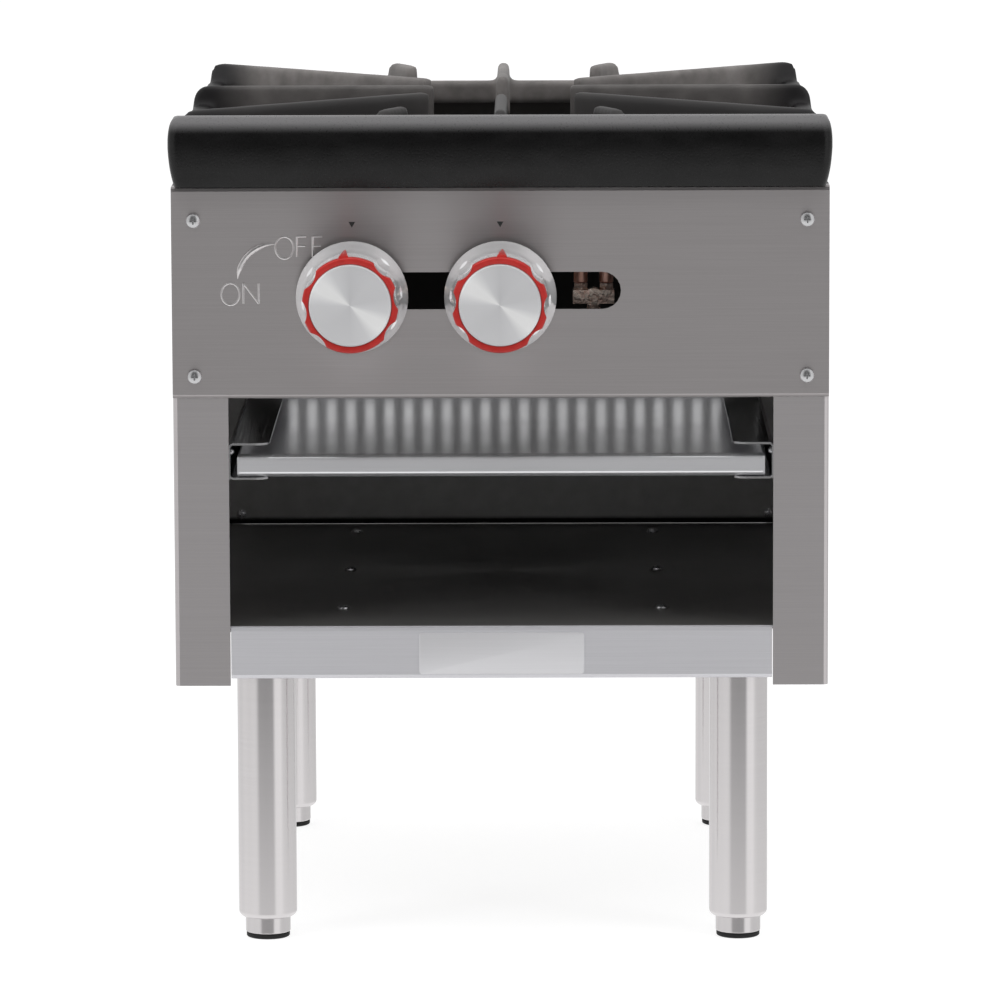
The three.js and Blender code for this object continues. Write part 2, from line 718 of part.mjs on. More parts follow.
function pilotValve() {
  const block = box(pilotX - 14.5, pilotX + 14.5, 30, 44, pilotZ - 5, pilotZ + 4.5);
  const boss = turnY([[0, 27], [6.4, 27], [6.4, 36], [0, 36]], 12, pilotX, pilotZ);
  const stem = turnZ([[0, 445.7], [5, 445.7], [5, 458], [0, 458]], 10, pilotX, manifoldY - 4);
  const nuts = [-9, 9].map((dx) => turnZ([[0, pilotZ + 3], [5.4, pilotZ + 3], [5.4, pilotZ + 9],
    [0, pilotZ + 9]], 6, pilotX + dx, 37));
  const screwBore = turnY([[0, 26], [3.8, 26], [3.8, 37], [0, 37]], 12, pilotX, pilotZ);
  return cut(join(block, boss, stem, ...nuts), screwBore);
}

function pilotScrew() {
  const head = turnY([[0, 28], [3.4, 28], [3.4, 36.4], [0, 36.4]], 12, pilotX, pilotZ);
  return cut(head, box(pilotX - 5, pilotX + 5, 27, 29.2, pilotZ - 0.6, pilotZ + 0.6));
}

function pilotTube(route) {
  return tube(route, 9, 3.15, 8);
}

const pilotHeads = {
  outer: { x: pilotX - 9, y: 98, z: 499 },
  inner: { x: pilotX + 9, y: 236, z: 499 },
};

function pilotRoute(head, levelZ) {
  const y = 37;
  return [
    [head.x, y, pilotZ + 9.3],
    [head.x, y, levelZ],
    [head.x, head.y, levelZ],
    [head.x, head.y, head.z - gap],
  ];
}

function pilotHead({ x, y, z }) {
  const profile = [[0, 0], [4.8, 0], [4.8, 16], [3, 22], [1.6, 22], [1.6, 14], [0, 14]];
  return turnZ(profile.map(([r, h]) => [r, z + h]), 8, x, y);
}

// ---- Knobs ----
// A cutter for one finger flute: a drum outside the grip whose far end closes like a bullet.
function flute(x, angle, turn) {
  const profile = [[0, -64], [14, -64], [14, -24], [11, -14], [0, -10]];
  const far = 44.2;
  const radians = THREE.MathUtils.degToRad(angle + turn);
  return turnY(profile, 10, x + far * Math.cos(radians), knobZ + far * Math.sin(radians));
}

// The pointer lies on top of the grip, and the whole knob is turned about its axis afterwards.
function pointerBlock(x, turn, width, low, high, tipY) {
  const plan = new THREE.Shape([[-width, -58], [width, -58], [width, -30], [0.6 + width - 3.3, tipY],
    [-0.6 - width + 3.3, tipY], [-width, -30]].map(([u, v]) => new THREE.Vector2(u, v)));
  const geometry = extrude(plan, high - low).translate(0, 0, low);
  return solid(geometry.rotateY(-THREE.MathUtils.degToRad(turn)).translate(x, 0, knobZ));
}

function knobBody({ x, turn }) {
  const shell = turnY([
    [0, -52], [32.4, -52], [31.6, -36], [32.4, -22], [34.6, -14], [knobSkirtRadius, -7.5],
    [knobSkirtRadius, -4], [36, -4], [28.4, -22], [28.4, -46], [8, -46], [8, -8],
    [4.4, -8], [4.4, -42], [0, -42],
  ], 24, x, knobZ);
  const flutes = fluteAngles.map((angle) => flute(x, angle, turn));
  return cut(shell, ...flutes, pointerBlock(x, turn, 3.6, 30, 40, -15.5));
}

function knobRing({ x, turn }) {
  const section = ring([[28.6, -52.3], [33.2, -52.3], [33.2, -57], [32.4, -58.6], [28.6, -58.6]]);
  const band = turnY(section, 28, x, knobZ);
  const flutes = fluteAngles.map((angle) => flute(x, angle, turn));
  return join(cut(band, ...flutes), pointerBlock(x, turn, 3.3, 30.4, 34.4, -16));
}

function knobCap({ x }) {
  const rimY = knobFaceY + 0.9;
  return turnY([[0, -52.3], [28.3, -52.3], [28.3, rimY], [27.6, knobFaceY], [0, knobFaceY]], 28, x, knobZ);
}

// ---- Legs ----
function legTube(x, y) {
  return turnZ(ring([[16.3, 15], [19, 15.6], [legRadius, 19], [legRadius, 226.8],
    [legRadius - 1.5, 226.8], [legRadius - 1.5, 28], [16.3, 28]]), 20, x, y);
}

function legPlate(x, y) {
  const half = 38;
  const plate = drawZ(outline([[x - half, y - half, 6], [x + half, y - half, 6],
    [x + half, y + half, 6], [x - half, y + half, 6]], 1), 227.1, 230.1);
  const holes = [-1, 1].flatMap((i) => [-1, 1].map(
    (j) => turnZ([[0, 226], [4, 226], [4, 231], [0, 231]], 6, x + i * 28, y + j * 28)));
  return cut(plate, ...holes);
}

function foot(x, y) {
  const sleeve = 13.4;
  const outside = [[0, 3.6], [15.2, 3.6], [footRadius, 4.4], [footRadius, 58]];
  return turnZ([...outside, [sleeve, 58], [sleeve, 18], [0, 18]], 16, x, y);
}

function footPad(x, y) {
  return turnZ([[0, 0], [14.6, 0], [15.4, 0.8], [15.4, 3.3], [0, 3.3]], 16, x, y);
}

// ---- Assembly ----
const pieces = [
  piece('side_panel_left', sidePanel(-1), stainless),
  piece('side_panel_right', sidePanel(1), stainless),
  piece('front_panel', frontPanel(), stainless),
  piece('back_panel', backPanel(), aluminised),
  piece('bottom_shelf', bottomShelf(), brightStainless),
  piece('shelf_stiffener_left', shelfStiffener(-1), aluminised),
  piece('shelf_stiffener_right', shelfStiffener(1), aluminised),
  piece('tray_rail_left', trayRail(-1), brightStainless),
  piece('tray_rail_right', trayRail(1), brightStainless),
  piece('drip_tray', dripTray(), brightStainless),
  piece('front_ledge', frontLedge(), castIron),
  piece('top_grate', topGrate(), castIron),
  piece('outer_burner', outerBurner(), castBurner),
  piece('inner_burner', innerBurner(), castBurner),
  piece('burner_bar_front', burnerBar(207, true), aluminised),
  piece('burner_bar_rear', burnerBar(333, false), aluminised),
  piece('gas_manifold', gasManifold(), blackPipe),
  piece('manifold_cap', manifoldCap(), blackPipe),
  piece('pilot_valve', pilotValve(), brass),
  piece('pilot_screw', pilotScrew(), brass),
  piece('pilot_tube_outer', pilotTube(pilotRoute(pilotHeads.outer, 488)), copper),
  piece('pilot_tube_inner', pilotTube(pilotRoute(pilotHeads.inner, 488)), copper),
  piece('pilot_head_outer', pilotHead(pilotHeads.outer), brass),
  piece('pilot_head_inner', pilotHead(pilotHeads.inner), brass),
];

knobs.forEach((knob) => {
  const ringName = knob.side === 'left' ? 'outer' : 'inner';
  pieces.push(piece(`air_shutter_${ringName}`, airShutter(knob.x), aluminised));
  pieces.push(piece(`gas_valve_${knob.side}`, gasValve(knob.x), brass));
  pieces.push(piece(`orifice_hood_${knob.side}`, orificeHood(knob.x), brass));
  pieces.push(piece(`valve_stem_${knob.side}`, valveStem(knob.x), aluminised));
  pieces.push(piece(`knob_${knob.side}`, knobBody(knob), chrome));
  pieces.push(piece(`knob_ring_${knob.side}`, knobRing(knob), redPlastic));
  pieces.push(piece(`knob_cap_${knob.side}`, knobCap(knob), spunAluminium));
});

['left', 'right'].forEach((side, i) => {
  const sign = i === 0 ? -1 : 1;
  [['lower', screwHeights[0]], ['upper', screwHeights[1]]].forEach(([level, z]) => {
    pieces.push(piece(`panel_screw_${level}_${side}`, panelScrew(sign * screwX, z), chrome));
  });
  [['front', legFrontY], ['rear', legRearY]].forEach(([end, y]) => {
    const x = sign * legX;
    pieces.push(piece(`leg_${end}_${side}`, legTube(x, y), brightStainless));
    pieces.push(piece(`leg_plate_${end}_${side}`, legPlate(x, y), aluminised));
    pieces.push(piece(`foot_${end}_${side}`, foot(x, y), brightStainless));
    pieces.push(piece(`foot_pad_${end}_${side}`, footPad(x, y), rubber));
  });
});

// The origin moves to the middle of the range's footprint on the floor.
const range = new THREE.Group();
range.add(...pieces);
range.position.y = -(knobFaceY + inletEndY) / 2;

export default range;
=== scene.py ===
import math

import bpy
from mathutils import Matrix, Vector


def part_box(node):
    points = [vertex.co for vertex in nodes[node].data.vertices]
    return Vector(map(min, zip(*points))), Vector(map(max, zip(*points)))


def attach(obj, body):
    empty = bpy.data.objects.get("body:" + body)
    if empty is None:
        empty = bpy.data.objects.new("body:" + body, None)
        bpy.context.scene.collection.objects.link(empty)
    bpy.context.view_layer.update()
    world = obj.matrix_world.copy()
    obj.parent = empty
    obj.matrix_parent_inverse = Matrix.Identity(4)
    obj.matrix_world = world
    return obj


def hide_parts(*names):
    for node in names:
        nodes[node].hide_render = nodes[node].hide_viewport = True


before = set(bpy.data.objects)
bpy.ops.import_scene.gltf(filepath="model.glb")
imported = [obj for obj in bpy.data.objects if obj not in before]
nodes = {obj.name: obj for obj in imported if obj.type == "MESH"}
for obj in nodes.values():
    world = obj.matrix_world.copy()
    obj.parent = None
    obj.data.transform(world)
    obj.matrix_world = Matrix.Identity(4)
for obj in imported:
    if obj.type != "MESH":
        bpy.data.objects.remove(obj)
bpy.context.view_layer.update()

# ---- Camera ----
# The range was photographed from well in front and a little above its top, through a long lens. The
# camera's place, turn and lens were worked out from points measured in the photograph.
camera_place = Vector((0.0282, -4.8804, 0.9802))
looks_down = math.radians(8.090)
looks_left = math.radians(0.3585)
leans_right = math.radians(0.1952)
film_width = 36
photo_width = 1000
focal_length_in_pixels = 6702.66
sees_as_far_as = 60

bpy.ops.object.camera_add()
camera = bpy.context.object
camera.name = "camera"
camera.data.sensor_width = film_width
camera.data.lens = film_width * focal_length_in_pixels / photo_width
camera.data.clip_end = sees_as_far_as
camera.matrix_world = (
    Matrix.Translation(camera_place)
    @ Matrix.Rotation(looks_left, 4, "Z")
    @ Matrix.Rotation(math.pi / 2 - looks_down, 4, "X")
    @ Matrix.Rotation(-leans_right, 4, "Z")
)
bpy.context.scene.camera = camera


# ---- Sheet body: side panels, control panel, bottom shelf ----
# Folded stainless sheet with a level brushed finish. The side panels wrap round into the front
# columns, the control panel is screwed across them, and the shelf's lip closes the bottom.
def finish(name, **settings):
    """A new principled material; each setting is a socket's name with _ for a space."""
    material = bpy.data.materials.new(name)
    material.use_nodes = True
    shader = material.node_tree.nodes["Principled BSDF"]
    for socket, value in settings.items():
        shader.inputs[socket.replace("_", " ")].default_value = value
    return material


def noise(material, stretch, detail=3.0):
    """Noise over the piece's own coordinates, stretched by a scale along X, Y and Z."""
    tree = material.node_tree
    place = tree.nodes.new("ShaderNodeTexCoord")
    mapping = tree.nodes.new("ShaderNodeMapping")
    mapping.inputs["Scale"].default_value = stretch
    texture = tree.nodes.new("ShaderNodeTexNoise")
    texture.inputs["Scale"].default_value = 1.0
    texture.inputs["Detail"].default_value = detail
    tree.links.new(place.outputs["Object"], mapping.inputs["Vector"])
    tree.links.new(mapping.outputs["Vector"], texture.inputs["Vector"])
    return texture.outputs["Fac"]


# nearly all of a noise pattern lies between these two values
noise_low = 0.3
noise_high = 0.7


def colours(material, pattern, dark, light):
    """Colours the finish from dark to light by the pattern."""
    tree = material.node_tree
    ramp = tree.nodes.new("ShaderNodeValToRGB")
    ramp.color_ramp.elements[0].position = noise_low
    ramp.color_ramp.elements[0].color = (*dark, 1)
    ramp.color_ramp.elements[1].position = noise_high
    ramp.color_ramp.elements[1].color = (*light, 1)
    tree.links.new(pattern, ramp.inputs["Fac"])
    tree.links.new(ramp.outputs["Color"], tree.nodes["Principled BSDF"].inputs["Base Color"])


def gloss(material, pattern, smooth, rough):
    """Varies the roughness between smooth and rough by the pattern."""
    tree = material.node_tree
    span = tree.nodes.new("ShaderNodeMapRange")
    span.inputs["From Min"].default_value = noise_low
    span.inputs["From Max"].default_value = noise_high
    span.inputs["To Min"].default_value = smooth
    span.inputs["To Max"].default_value = rough
    tree.links.new(pattern, span.inputs["Value"])
    tree.links.new(span.outputs["Result"], tree.nodes["Principled BSDF"].inputs["Roughness"])


def relief(material, pattern, depth):
    """Raises and lowers the surface by the pattern."""
    tree = material.node_tree
    bump = tree.nodes.new("ShaderNodeBump")
    bump.inputs["Strength"].default_value = 1.0
    bump.inputs["Distance"].default_value = depth
    tree.links.new(pattern, bump.inputs["Height"])
    tree.links.new(bump.outputs["Normal"], tree.nodes["Principled BSDF"].inputs["Normal"])


def mottled(name, stretch, dark, light, smooth, rough, detail=3.0, depth=0, **settings):
    """A finish whose colour, gloss and, where it has a depth, relief go by one pattern."""
    material = finish(name, **settings)
    pattern = noise(material, stretch, detail)
    colours(material, pattern, dark, light)
    gloss(material, pattern, smooth, rough)
    if depth:
        relief(material, pattern, depth)
    return material


def fading_to(material, axis, start, end, colour):
    """Takes the finish to another colour from one place along an axis to another."""
    tree = material.node_tree
    shader = tree.nodes["Principled BSDF"]
    finished = shader.inputs["Base Color"].links[0].from_socket
    place = tree.nodes.new("ShaderNodeTexCoord")
    split = tree.nodes.new("ShaderNodeSeparateXYZ")
    span = tree.nodes.new("ShaderNodeMapRange")
    span.interpolation_type = "SMOOTHSTEP"
    span.inputs["From Min"].default_value = start
    span.inputs["From Max"].default_value = end
    blend = tree.nodes.new("ShaderNodeMix")
    blend.data_type = "RGBA"
    blend.inputs["B"].default_value = (*colour, 1)
    tree.links.new(place.outputs["Object"], split.inputs["Vector"])
    tree.links.new(split.outputs[axis], span.inputs["Value"])
    tree.links.new(span.outputs["Result"], blend.inputs["Factor"])
    tree.links.new(finished, blend.inputs["A"])
    tree.links.new(blend.outputs["Result"], shader.inputs["Base Color"])


def paint(material, *names):
    """Gives the named solids this finish."""
    for name in names:
        slots = nodes[name].data.materials
        slots.clear()
        slots.append(material)


scratch_depth = 0.000004
along, across = 14, 2600
scratch_stretches = {"level": (along, along, across), "deep": (across, along, across)}


def brushed_sheet(name, dark, light, grain, smooth, rough, metal=1.0, spread=0.85):
    """Brushed stainless: fine scratches in the grain's direction, which spread each reflection
    across them."""
    return mottled(name, scratch_stretches[grain], dark, light, smooth, rough, depth=scratch_depth,
                   Metallic=metal, Anisotropic=spread, Anisotropic_Rotation=0.25)


panel_steel = brushed_sheet("panel_steel", (0.525, 0.498, 0.500), (0.575, 0.547, 0.549), "level",
                            smooth=0.42, rough=0.48)
# painted shade: the panel's lowest strip, at its bottom hem, is darker
hem_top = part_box("front_panel")[0].z + 0.0026
hem_fade = 0.0010
hem_painted_shade = (0.36, 0.34, 0.34)
fading_to(panel_steel, "Z", hem_top, hem_top - hem_fade, hem_painted_shade)
paint(panel_steel, "front_panel")

side_steel = brushed_sheet("side_steel", (0.585, 0.557, 0.562), (0.63, 0.602, 0.607), "level",
                           smooth=0.38, rough=0.44)
paint(side_steel, "side_panel_left", "side_panel_right")

lip_steel = brushed_sheet("lip_steel", (0.79, 0.785, 0.82), (0.84, 0.835, 0.87), "level",
                            smooth=0.3, rough=0.34, metal=0.55)
shelf_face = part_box("bottom_shelf")[0].y
lip_depth = 0.0030
# painted shade: behind its front lip the shelf's deck is dark, as the cavity is
deck_painted_shade = (0.19, 0.185, 0.18)
fading_to(lip_steel, "Y", shelf_face + lip_depth, shelf_face + lip_depth * 2, deck_painted_shade)
back_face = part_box("back_panel")[0].y
rear_lip_fade = 0.0020
rear_lip_shade = (0.60, 0.58, 0.585)
fading_to(lip_steel, "Y", back_face, back_face + rear_lip_fade, rear_lip_shade)
paint(lip_steel, "bottom_shelf")


# ---- Control panel markings ----
# ON, OFF and the arc between them are pressed out of the sheet, and a small black V is marked over
# each knob.
def deselect():
    """Leaves edit mode with nothing selected."""
    if bpy.context.object and bpy.context.object.mode != "OBJECT":
        bpy.ops.object.mode_set(mode="OBJECT")
    bpy.ops.object.select_all(action="DESELECT")


def pick(piece):
    """Selects the piece alone and makes it the active one."""
    deselect()
    piece.select_set(True)
    bpy.context.view_layer.objects.active = piece


def edit_all():
    """Goes into edit mode with everything selected."""
    bpy.ops.object.mode_set(mode="EDIT")
    bpy.ops.mesh.select_all(action="SELECT")


def settle(piece, name, material, body, smooth_angle=30):
    """Names a finished piece, fixes its place in its mesh, shades it and lets it ride."""
    pick(piece)
    if piece.type != "MESH":
        bpy.ops.object.convert(target="MESH")
        piece = bpy.context.object
    bpy.ops.object.transform_apply(location=True, rotation=True, scale=True)
    bpy.ops.object.shade_smooth_by_angle(angle=math.radians(smooth_angle))
    piece.name = piece.data.name = name
    piece.data.materials.clear()
    piece.data.materials.append(material)
    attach(piece, body)
    return piece


panel_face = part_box("front_panel")[0].y
stroke_width = 0.0015
stroke_flatness = 0.75
stroke_roundness = 3
# painted highlight: the pressed strokes are a lighter steel than the panel they are pressed from
stroke_steel_painted_light = mottled("stroke_steel_painted_light", (500, 500, 500), (0.74, 0.72, 0.72), (0.84, 0.82, 0.82),
                        smooth=0.30, rough=0.38, Metallic=1.0)


def pressed_line(name, strokes):
    """Rounded ridges pressed out of the sheet. Each stroke is its points, (x, z, width), and
    whether it closes on itself."""
    deselect()
    bpy.ops.curve.primitive_nurbs_path_add()
    ridge = bpy.context.object
    ridge.data.splines.clear()
    for points, closed in strokes:
        line = ridge.data.splines.new("POLY")
        line.points.add(len(points) - 1)
        line.use_cyclic_u = closed
        for point, (x, z, width) in zip(line.points, points):
            point.co = (x, 0, z, 1)
            point.radius = width / 2
    ridge.data.bevel_depth = 1
    ridge.data.bevel_resolution = stroke_roundness
    ridge.data.use_fill_caps = True
    piece = settle(ridge, name, stroke_steel_painted_light, "range_body")
    edit_all()
    bpy.ops.transform.resize(value=(1, stroke_flatness, 1), center_override=(0, 0, 0))
    bpy.ops.transform.translate(value=(0, panel_face, 0))
    bpy.ops.mesh.normals_make_consistent(inside=False)
    bpy.ops.object.mode_set(mode="OBJECT")


def letter_o(x, z, half_width, half_height, steps=32):
    """The stroke of an O round its middle."""
    turn = [math.tau * step / steps for step in range(steps)]
    points = [(x + half_width * math.cos(t), z + half_height * math.sin(t), stroke_width) for t in turn]
    return points, True


def letter_line(*points):
    """A straight or angled stroke through the points."""
    return [(x, z, stroke_width) for x, z in points], False


n_left, n_right = -0.1787, -0.1680
on_foot, on_top = 0.4600, 0.4742
pressed_line("lettering_on", [
    letter_o(-0.1877, 0.4667, half_width=0.0063, half_height=0.0076),
    letter_line((n_left, on_foot), (n_left, on_top)),
    letter_line((n_left, on_top), (n_right, on_foot)),
    letter_line((n_right, on_foot), (n_right, on_top))])

off_foot, off_middle, off_top = 0.4926, 0.5002, 0.5068
f_arm = 0.0066
f_short_arm = f_arm * 0.85
off_strokes = [letter_o(-0.1499, 0.4990, half_width=0.0063, half_height=0.0077)]
for f_stem in (-0.1412, -0.1302):
    off_strokes.append(letter_line((f_stem, off_foot), (f_stem, off_top)))
    off_strokes.append(letter_line((f_stem, off_top), (f_stem + f_arm, off_top)))
    off_strokes.append(letter_line((f_stem, off_middle), (f_stem + f_short_arm, off_middle)))
pressed_line("lettering_off", off_strokes)

arc_x, arc_z = -0.1570, 0.4760
arc_radius = 0.0256
arc_width = 0.0038
arc_start, arc_sweep = 177, 89
arc_steps = 28
arc_tip = 0.1
arc_points = []
for step in range(arc_steps + 1):
    share = step / arc_steps
    angle = math.radians(arc_start - arc_sweep * share)
    taper = min(1, arc_tip + 5 * share, arc_tip + 3 * (1 - share))
    arc_points.append((arc_x + arc_radius * math.cos(angle), arc_z + arc_radius * math.sin(angle),
                       arc_width * taper))
pressed_line("lettering_arc", [(arc_points, False)])

mark_black = finish("mark_black", Base_Color=(0.02, 0.02, 0.02, 1), Roughness=0.7)
mark_height = 0.5156
mark_size = 0.0027
mark_thickness = 0.0003
mark_edge = 0.0001
for side in ("left", "right"):
    knob_low, knob_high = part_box(f"knob_cap_{side}")
    middle = (knob_low.x + knob_high.x) / 2
    deselect()
    bpy.ops.mesh.primitive_cylinder_add(vertices=3, radius=mark_size, depth=mark_thickness,
                                        location=(middle, panel_face, mark_height),
                                        rotation=(-math.pi / 2, 0, 0))
    mark = bpy.context.object
    edit_all()
    bpy.ops.mesh.bevel(offset=mark_edge, segments=1)
    bpy.ops.object.mode_set(mode="OBJECT")
    mark = settle(mark, f"knob_mark_{side}", mark_black, "range_body")


# ---- Screws ----
# Zinc-plated steel. Pan-head screws with a cross recess hold the control panel to the columns, and
# others hold the shelf to the channels under it.
AXES = {"X": Vector((1, 0, 0)), "Y": Vector((0, 1, 0)), "Z": Vector((0, 0, 1))}
TURNS = {"X": (0, math.pi / 2, 0), "Y": (-math.pi / 2, 0, 0), "Z": (0, 0, 0)}


def turned(axis, centre, profile, sides=64, ring=False):
    """A piece turned on a lathe. The profile gives each step's distance along the axis and radius;
    a ring's profile closes on itself round an open middle."""
    along = AXES[axis]
    (distance, radius), *steps = profile
    deselect()
    bpy.ops.mesh.primitive_circle_add(vertices=sides, radius=radius,
                                      fill_type="NOTHING" if ring else "NGON",
                                      location=Vector(centre) + along * distance,
                                      rotation=TURNS[axis])
    edit_all()
    if ring:
        steps.append((distance, radius))
    for next_distance, next_radius in steps:
        bpy.ops.mesh.extrude_region_move(
            TRANSFORM_OT_translate={"value": along * (next_distance - distance)})
        share = next_radius / radius
        bpy.ops.transform.resize(
            value=[1 if along[i] else share for i in range(3)],
            center_override=Vector(centre) + along * next_distance)
        distance, radius = next_distance, next_radius
    bpy.ops.mesh.select_all(action="SELECT")
    bpy.ops.mesh.remove_doubles(threshold=1e-6)
    bpy.ops.mesh.normals_make_consistent(inside=False)
    bpy.ops.object.mode_set(mode="OBJECT")
    return bpy.context.object


def add_modifier(piece, kind):
    """Puts a modifier on the piece, which becomes the active object."""
    pick(piece)
    bpy.ops.object.modifier_add(type=kind)
    return piece.modifiers[-1]


def combine(piece, other, operation):
    """Joins the other solid to the piece, or cuts it away, and removes the other."""
    modifier = add_modifier(piece, "BOOLEAN")
    modifier.operation = operation
    modifier.object = other
    modifier.solver = "EXACT"
    bpy.ops.object.modifier_apply(modifier=modifier.name)
    bpy.data.objects.remove(other)


def soften(piece, width, segments=2, angle=30):
    """Rounds every edge sharper than the angle."""
    modifier = add_modifier(piece, "BEVEL")
    modifier.width = width
    modifier.segments = segments
    modifier.limit_method = "ANGLE"
    modifier.angle_limit = math.radians(angle)
    bpy.ops.object.modifier_apply(modifier=modifier.name)


def block(low, high):
    """A rectangular solid between two corners."""
    low, high = Vector(low), Vector(high)
    deselect()
    bpy.ops.mesh.primitive_cube_add(size=1, location=(low + high) / 2, scale=high - low)
    bpy.ops.object.transform_apply(location=True, rotation=True, scale=True)
    return bpy.context.object


# a pan head's outline, as shares of its height and radius, and its cross recess, likewise
head_rise = [(0, 0.96), (0.25, 1), (0.55, 0.93), (0.8, 0.72), (0.95, 0.42), (1, 0.12)]
recess_depth = 0.45
recess_reach = 0.48
recess_half_width = 0.10


def pan_head(axis, sign, seat, radius, height):
    """A pan head with a cross recess, standing on its seat along sign times the axis."""
    head = turned(axis, seat, [(sign * height * d, radius * r) for d, r in head_rise], sides=32)
    tip = Vector(seat) + AXES[axis] * sign * height
    for across in [key for key in AXES if key != axis]:
        size = AXES[axis] * height * recess_depth + AXES[across] * radius * recess_reach
        size += (Vector((1, 1, 1)) - AXES[axis] - AXES[across]) * radius * recess_half_width
        combine(head, block(tip - size, tip + size), "DIFFERENCE")
    return head


zinc = finish("zinc_plate", Base_Color=(0.60, 0.60, 0.61, 1), Metallic=1.0)
gloss(zinc, noise(zinc, (900, 900, 900)), smooth=0.22, rough=0.38)
for level in ("lower", "upper"):
    for side in ("left", "right"):
        name = f"panel_screw_{level}_{side}"
        low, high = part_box(name)
        seat = Vector(((low.x + high.x) / 2, panel_face, (low.z + high.z) / 2))
        screw = pan_head("Y", -1, seat, (high.x - low.x) / 2, panel_face - low.y)
        screw = settle(screw, f"{name}_head", zinc, "range_body")
        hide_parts(name)

shelf_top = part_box("bottom_shelf")[1].z
shelf_bolt_x = 0.1133
shelf_bolt_rows = (-0.1660, 0.0165, 0.2080)
shelf_bolt_radius = 0.0046
shelf_bolt_height = 0.0028
for bolt_y in shelf_bolt_rows:
    for side, sign in (("left", -1), ("right", 1)):
        bolt = pan_head("Z", 1, (sign * shelf_bolt_x, bolt_y, shelf_top),
                        shelf_bolt_radius, shelf_bolt_height)
        bolt = settle(bolt, f"shelf_bolt_{side}_{round(bolt_y * 1000)}", zinc, "range_body")


# ---- Badge plate ----
# A thin bare stainless plate with rounded corners, stuck to the middle of the shelf's lip. It is
# blanked from sheet, and its edges are slightly rounded.
badge_half_width = 0.0578
badge_thickness = 0.0009
badge_foot, badge_top = 0.1984, 0.2278
badge_corner = 0.0022
badge_corner_segments = 6
badge_edge = 0.0003
badge_low = Vector((-badge_half_width, shelf_face - badge_thickness, badge_foot))
badge_high = Vector((badge_half_width, shelf_face, badge_top))
badge = block(badge_low, badge_high)
bpy.ops.object.mode_set(mode="EDIT")
bpy.ops.mesh.select_mode(type="EDGE")
bpy.ops.mesh.select_all(action="DESELECT")
bpy.ops.object.mode_set(mode="OBJECT")
for edge in badge.data.edges:
    a, b = (badge.data.vertices[i].co for i in edge.vertices)
    edge.select = abs(a.y - b.y) > badge_thickness / 2
bpy.ops.object.mode_set(mode="EDIT")
bpy.ops.mesh.bevel(offset=badge_corner, segments=badge_corner_segments)
bpy.ops.object.mode_set(mode="OBJECT")
soften(badge, badge_edge)
badge_steel = brushed_sheet("badge_plate", (0.90, 0.895, 0.92), (0.93, 0.925, 0.95), "level",
                            smooth=0.3, rough=0.34, metal=0.45)
badge = settle(badge, "badge_plate", badge_steel, "range_body")


# ---- Back panel and shelf stiffeners ----
# Dull aluminised sheet. The back panel is a pan with punched vent slots; its inside is painted dark
# beside the burners, a little lighter towards its top and darkest where it meets the shelf, all painted
# shade; the stiffeners are folded channels under the shelf.
aluminised = mottled("aluminised_sheet", (60, 60, 60), (0.26, 0.26, 0.25), (0.36, 0.36, 0.35),
                     smooth=0.36, rough=0.5, detail=6, Metallic=1.0)
paint(aluminised, "shelf_stiffener_left", "shelf_stiffener_right")

painted_shade_sheet = mottled("painted_shade_sheet", (60, 60, 60), (0.42, 0.42, 0.41), (0.54, 0.54, 0.53),
                      smooth=0.4, rough=0.55, detail=6, Metallic=0.9)
# painted shade: the inside darkens over the burners, less so towards the top, and most at the shelf
burner_shade_level = 0.372
upper_shade_level = 0.500
shade_fade = 0.030
burner_painted_shade = (0.022, 0.021, 0.020)
upper_painted_shade = (0.13, 0.125, 0.12)
fading_to(painted_shade_sheet, "Z", burner_shade_level, burner_shade_level + shade_fade, burner_painted_shade)
fading_to(painted_shade_sheet, "Z", upper_shade_level, upper_shade_level + shade_fade, upper_painted_shade)
shelf_shade_from, shelf_shade_full = shelf_top + 0.007, shelf_top + 0.003
shelf_painted_shade = (0.015, 0.015, 0.015)
fading_to(painted_shade_sheet, "Z", shelf_shade_from, shelf_shade_full, shelf_painted_shade)
# the outer face of the panel keeps the sheet's plain colour, without the painted shade
skin_from, skin_full = back_face + 0.0006, back_face + 0.0010
outer_shade = (0.31, 0.31, 0.30)
fading_to(painted_shade_sheet, "Y", skin_from, skin_full, outer_shade)
paint(painted_shade_sheet, "back_panel")


# ---- Legs and feet ----
# Each leg is a length of brushed stainless tube under a bolted plate, turned in at its lower end
# round a foot that screws in and out, with a black pad under it.
tube_steel = brushed_sheet("leg_tube_steel", (0.70, 0.675, 0.68), (0.735, 0.71, 0.715), "level",
                           smooth=0.17, rough=0.2)
pad_rubber = finish("pad_rubber", Base_Color=(0.018, 0.018, 0.018, 1), Roughness=0.75)
relief(pad_rubber, noise(pad_rubber, (700, 700, 700)), depth=0.00005)

leg_sides = 96
tube_wall = 0.0015
tube_gap = 0.0002
turn_in_radius = 0.0040
turn_in_angles = (30, 45, 60, 75, 90)
collar_radius = 0.0163
collar_height = 0.0130

# height over the foot's lower end, and how far inside its outer radius
foot_edge = [(0, 0.0008), (0.0003, 0.0003), (0.0008, 0)]
foot_bore = 0.0134
foot_bore_floor = 0.0180
foot_bore_centre = 0.0005

# height over the floor, and how far inside the pad's outer radius
pad_edge = [(0, 0.0010), (0.0003, 0.0004), (0.0009, 0)]
pad_rim_height = 0.0003
pad_rim_inset = 0.0004

leg_bolt_spread = 0.0280
# depth under the plate, and radius
leg_bolt_steps = [(0, 0.0052), (0.0030, 0.0052), (0.0036, 0.0046)]

